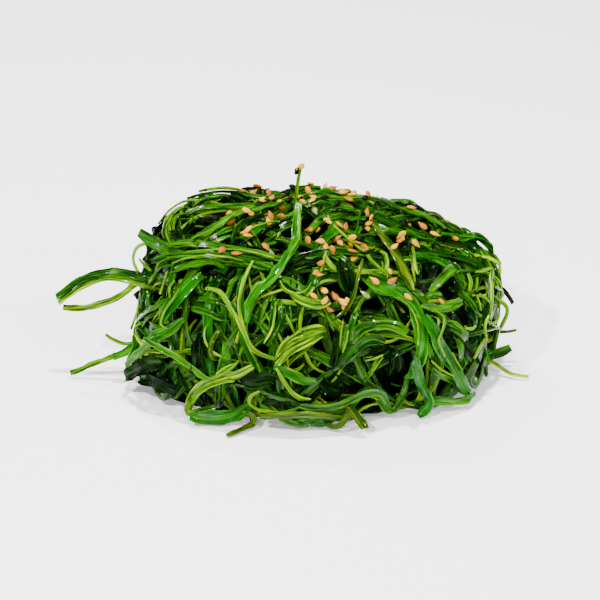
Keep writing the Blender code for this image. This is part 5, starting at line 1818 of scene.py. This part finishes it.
@dataclass
class Depth:
    """The inside of the tangle, under the strips that show, dark with painted shade."""

    pile: Pile
    sink: float = 4.0 * MM
    least: float = -2.5 * MM
    sectors: int = 120
    rings: int = 60

    def piece(self) -> bpy.types.Object:
        """Turns a ball into the bed with the pile on it, lowered under the strips and cut at the floor.

        Returns:
            The piece.
        """
        shape = bmesh.new()
        bmesh.ops.create_uvsphere(shape, u_segments=self.sectors, v_segments=self.rings, radius=1.0)
        directions = unit(np.array([vertex.co for vertex in shape.verts]))
        radius = self.pile.bed.radius(directions)
        raised = self.pile.height(directions)
        radius = radius + np.maximum(raised - self.sink, self.least)
        for vertex, place in zip(shape.verts, directions * radius[:, None]):
            vertex.co = Vector(place + HEAP_SHIFT)
        bmesh.ops.bisect_plane(
            shape, geom=shape.verts[:] + shape.edges[:] + shape.faces[:], plane_co=(0, 0, 0),
            plane_no=(0, 0, -1), clear_outer=True,
        )
        bmesh.ops.contextual_create(shape, geom=[edge for edge in shape.edges if edge.is_boundary])
        bmesh.ops.recalc_face_normals(shape, faces=shape.faces)
        mesh = bpy.data.meshes.new("tangle_depth")
        shape.to_mesh(mesh)
        shape.free()
        mesh.shade_smooth()
        mesh.materials.append(ShadeDepthFinish().material())
        return linked("tangle_depth", mesh)


@dataclass(frozen=True)
class Studio:
    """The plain pale floor, the soft lights and the camera."""

    view: FrontView
    floor_half: float = 1.5
    surround: float = 0.15
    # Name, place and size in metres, and power in watts.
    lamps: tuple = (
        ("overhead", (0.04, 0.06, 0.80), 0.06, 13.0),
        ("back", (-0.25, 0.45, 0.62), 0.08, 5.0),
        ("key", (-0.36, -0.46, 0.62), 0.035, 10.0),
        ("front_low", (-0.12, -0.74, 0.34), 0.03, 1.8),
        ("front_high", (0.16, -0.60, 0.62), 0.03, 2.6),
        ("front_right", (0.48, -0.52, 0.40), 0.03, 2.4),
        ("right", (0.66, -0.14, 0.50), 0.05, 2.4),
    )

    def build(self) -> None:
        """Sets everything up round the heap."""
        self.floor()
        self.lights()
        self.camera()

    def floor(self) -> None:
        """A plain pale floor."""
        shape = bmesh.new()
        bmesh.ops.create_grid(shape, x_segments=1, y_segments=1, size=self.floor_half)
        mesh = bpy.data.meshes.new("floor")
        shape.to_mesh(mesh)
        shape.free()
        finish, make = blank_finish("pale_floor")
        make.shade({}, {
            "Base Color": (0.93, 0.93, 0.92, 1.0), "Roughness": 0.6, "Specular IOR Level": 0.2,
            "Emission Color": (1.0, 1.0, 1.0, 1.0), "Emission Strength": 0.3,
        })
        mesh.materials.append(finish)
        linked("floor", mesh)

    def lights(self) -> None:
        """Small lights above, behind and round the front, which glint on the wet strips, and a dim surround."""
        for name, place, size, power in self.lamps:
            light = bpy.data.lights.new(name, "AREA")
            light.energy = power
            light.size = size
            lamp = linked(name, light)
            lamp.location = place
            lamp.rotation_euler = (Vector((0, 0, 0.02)) - Vector(place)).to_track_quat("-Z", "Y").to_euler()
        world = bpy.data.worlds.new("surround")
        world.use_nodes = True
        background = world.node_tree.nodes["Background"]
        background.inputs["Color"].default_value = (1.0, 1.0, 1.0, 1.0)
        background.inputs["Strength"].default_value = self.surround
        bpy.context.scene.world = world

    def camera(self) -> None:
        """The camera at the photograph's angle."""
        lens = bpy.data.cameras.new("camera")
        lens.sensor_width = 36.0
        lens.lens = lens.sensor_width * self.view.distance / self.view.frame_width
        lens.clip_start = 0.01
        camera = linked("camera", lens)
        camera.location = Vector(self.view.eye + HEAP_SHIFT)
        camera.rotation_euler = (math.pi / 2 - self.view.rise, 0.0, 0.0)
        bpy.context.scene.camera = camera


@dataclass
class Heap:
    """The whole serving."""

    nodes: list[str]
    bed: Bed = field(default_factory=Bed)
    view: FrontView = field(default_factory=FrontView)
    spacing: float = 0.9 * MM
    most_in_piece: int = 60
    trees: list[BVHTree] = field(default_factory=list)

    def build(self) -> None:
        """Makes every piece and says what it stands for."""
        pile = Pile(self.bed)
        fill = Tangle(self.bed).lay(pile)
        level = pile.levelled()
        fill += Tangle(self.bed).lay_loose(pile)
        laying = LaidStrips(self.view)
        laid = [laying.strip(level, name, *sizes) for name, sizes in LAID_STRIPS.items()]
        sprigs = [Sprigs(self.bed, self.view).strip(name, *sizes) for name, sizes in SPRIGS.items()]
        sweep = Sweep(self.spacing)
        materials = self.materials()
        self.report(Depth(pile).piece(), "tangle", ("tangle",))
        for build, tone, alike in self.sorted_out(fill + sprigs):
            for first in range(0, len(alike), self.most_in_piece):
                some = alike[first:first + self.most_in_piece]
                name = f"tangle_{build.value}_{tone.name.lower()}_{first // self.most_in_piece + 1}"
                self.add(sweep.piece(name, some, SECTIONS[build], materials[build, tone]))
        shreds = self.drawn(laying, level, SHREDS, "shred")
        for build, tone, alike in self.sorted_out(shreds):
            name = f"tangle_shreds_{build.value}_{tone.name.lower()}"
            self.add(sweep.piece(name, alike, SECTIONS[build] | CALM, materials[build, tone]))
        for strip in laid:
            laying.rest_on(strip, self.trees)
            sizes = SECTIONS[strip.build] | CALM
            piece = sweep.piece(f"{strip.name}_weed", [strip], sizes, materials[strip.build, strip.tone])
            self.add(piece, strip.tone.value, (strip.name,))
        threads = self.drawn(laying, level, {Tone.LIME: THREADS}, "thread")
        thin = materials[Build.THREAD, Tone.LIME]
        self.add(sweep.piece("tangle_threads", threads, SECTIONS[Build.THREAD] | CALM, thin))
        self.seeds()

    @staticmethod
    def materials() -> dict[tuple[Build, Tone], bpy.types.Material]:
        """The strips' materials. A thin lime thread is paler than a broader lime strip.

        Returns:
            The material for each build and tone.
        """
        weeds = {tone: finish.material() for tone, finish in WEEDS.items()}
        pale = PALE_THREADS.material()
        return {
            (build, tone): pale if (build, tone) == (Build.THREAD, Tone.LIME) else weeds[tone]
            for build in Build for tone in Tone
        }

    @staticmethod
    def sorted_out(strips: Sequence[Strip]) -> Iterable[tuple[Build, Tone, list[Strip]]]:
        """Sorts strips by how they are cut and by tone.

        Args:
            strips: the strips.

        Returns:
            Each build and tone that they have, and the strips of that build and tone.
        """
        for build in Build:
            for tone in Tone:
                alike = [strip for strip in strips if strip.build is build and strip.tone is tone]
                if alike:
                    yield build, tone, alike

    def drawn(self, laying: LaidStrips, level: Pile, routes: dict[Tone, Sequence[tuple[float, Route]]],
              name: str) -> list[Strip]:
        """Lays strips by routes drawn in the front view, each resting on those before it.

        Args:
            laying: what lays strips by their drawn routes.
            level: the pile that they are drawn on.
            routes: the width and the route of each, by tone.
            name: what they are called.

        Returns:
            The strips, from the lowest up.
        """
        ribbons = Ribbons()
        laid = []
        for tone, rows in routes.items():
            for number, (width, route) in enumerate(rows):
                strip = laying.strip(level, f"{name}_{tone.name.lower()}_{number}", tone, width, route)
                laying.rest_on(strip, self.trees + ([ribbons.tree()] if ribbons.faces else []))
                if name == "shred":
                    laying.tuck(strip)
                ribbons.add(strip)
                laid.append(strip)
        return laid

    def add(self, piece: bpy.types.Object, slot: str = "tangle", nodes: Sequence[str] = ("tangle",)) -> None:
        """Keeps a search tree of a piece, from the middle of the heap's base, and reports the piece.

        Args:
            piece: the swept strips.
            slot: the name of its finish, passed on to the report.
            nodes: the nodes that it stands for.
        """
        places = [Vector(np.array(vertex.co) - HEAP_SHIFT) for vertex in piece.data.vertices]
        faces = [tuple(polygon.vertices) for polygon in piece.data.polygons]
        self.trees.append(BVHTree.FromPolygons(places, faces))
        self.report(piece, slot, nodes)

    def seeds(self) -> None:
        """Scatters the sesame seeds on the strips."""
        sesame = Sesame(self.view, self.trees)
        rng = random.Random(SEED)
        tan = sesame.seeds(TAN_SPOTS)
        black = sesame.seeds(BLACK_SPOTS)
        green = sesame.seeds(GREEN_SPOTS)
        twig_tip = np.array(SPRIGS["top_twig"][2][-1]) * MM
        tan.append((twig_tip, -self.view.sight))
        back = sesame.back_seeds(rng, BACK_SEEDS)
        tan, black = tan + back[::2] + back[1::4], black + back[3::4]
        for finish, slot, rests in zip(SEED_FINISHES, SEED_SLOTS, (tan, black, green)):
            piece = sesame.piece(finish.name + "_seeds", rests, finish, rng)
            replaced = [node for node in self.nodes if node.startswith(finish.name)]
            self.report(piece, slot, replaced or ("tangle",))

    @staticmethod
    def report(piece: bpy.types.Object, slot: str, nodes: Sequence[str]) -> None:
        """Attaches a piece to the root body, hides the nodes that it stands for, and logs its faces.

        Args:
            piece: the piece.
            slot: not used.
            nodes: the nodes that it stands for.
        """
        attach(piece, "root")
        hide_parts(*nodes)
        LOG.info("%s: %d faces", piece.name, len(piece.data.polygons))


def main() -> None:
    """Builds the heap, the floor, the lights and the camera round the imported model."""
    logging.basicConfig(level=logging.INFO, format="%(message)s")
    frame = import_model()
    heap = Heap(sorted(frame["nodes"]))
    heap.build()
    Studio(heap.view).build()


if __name__ == "__main__":
    main()
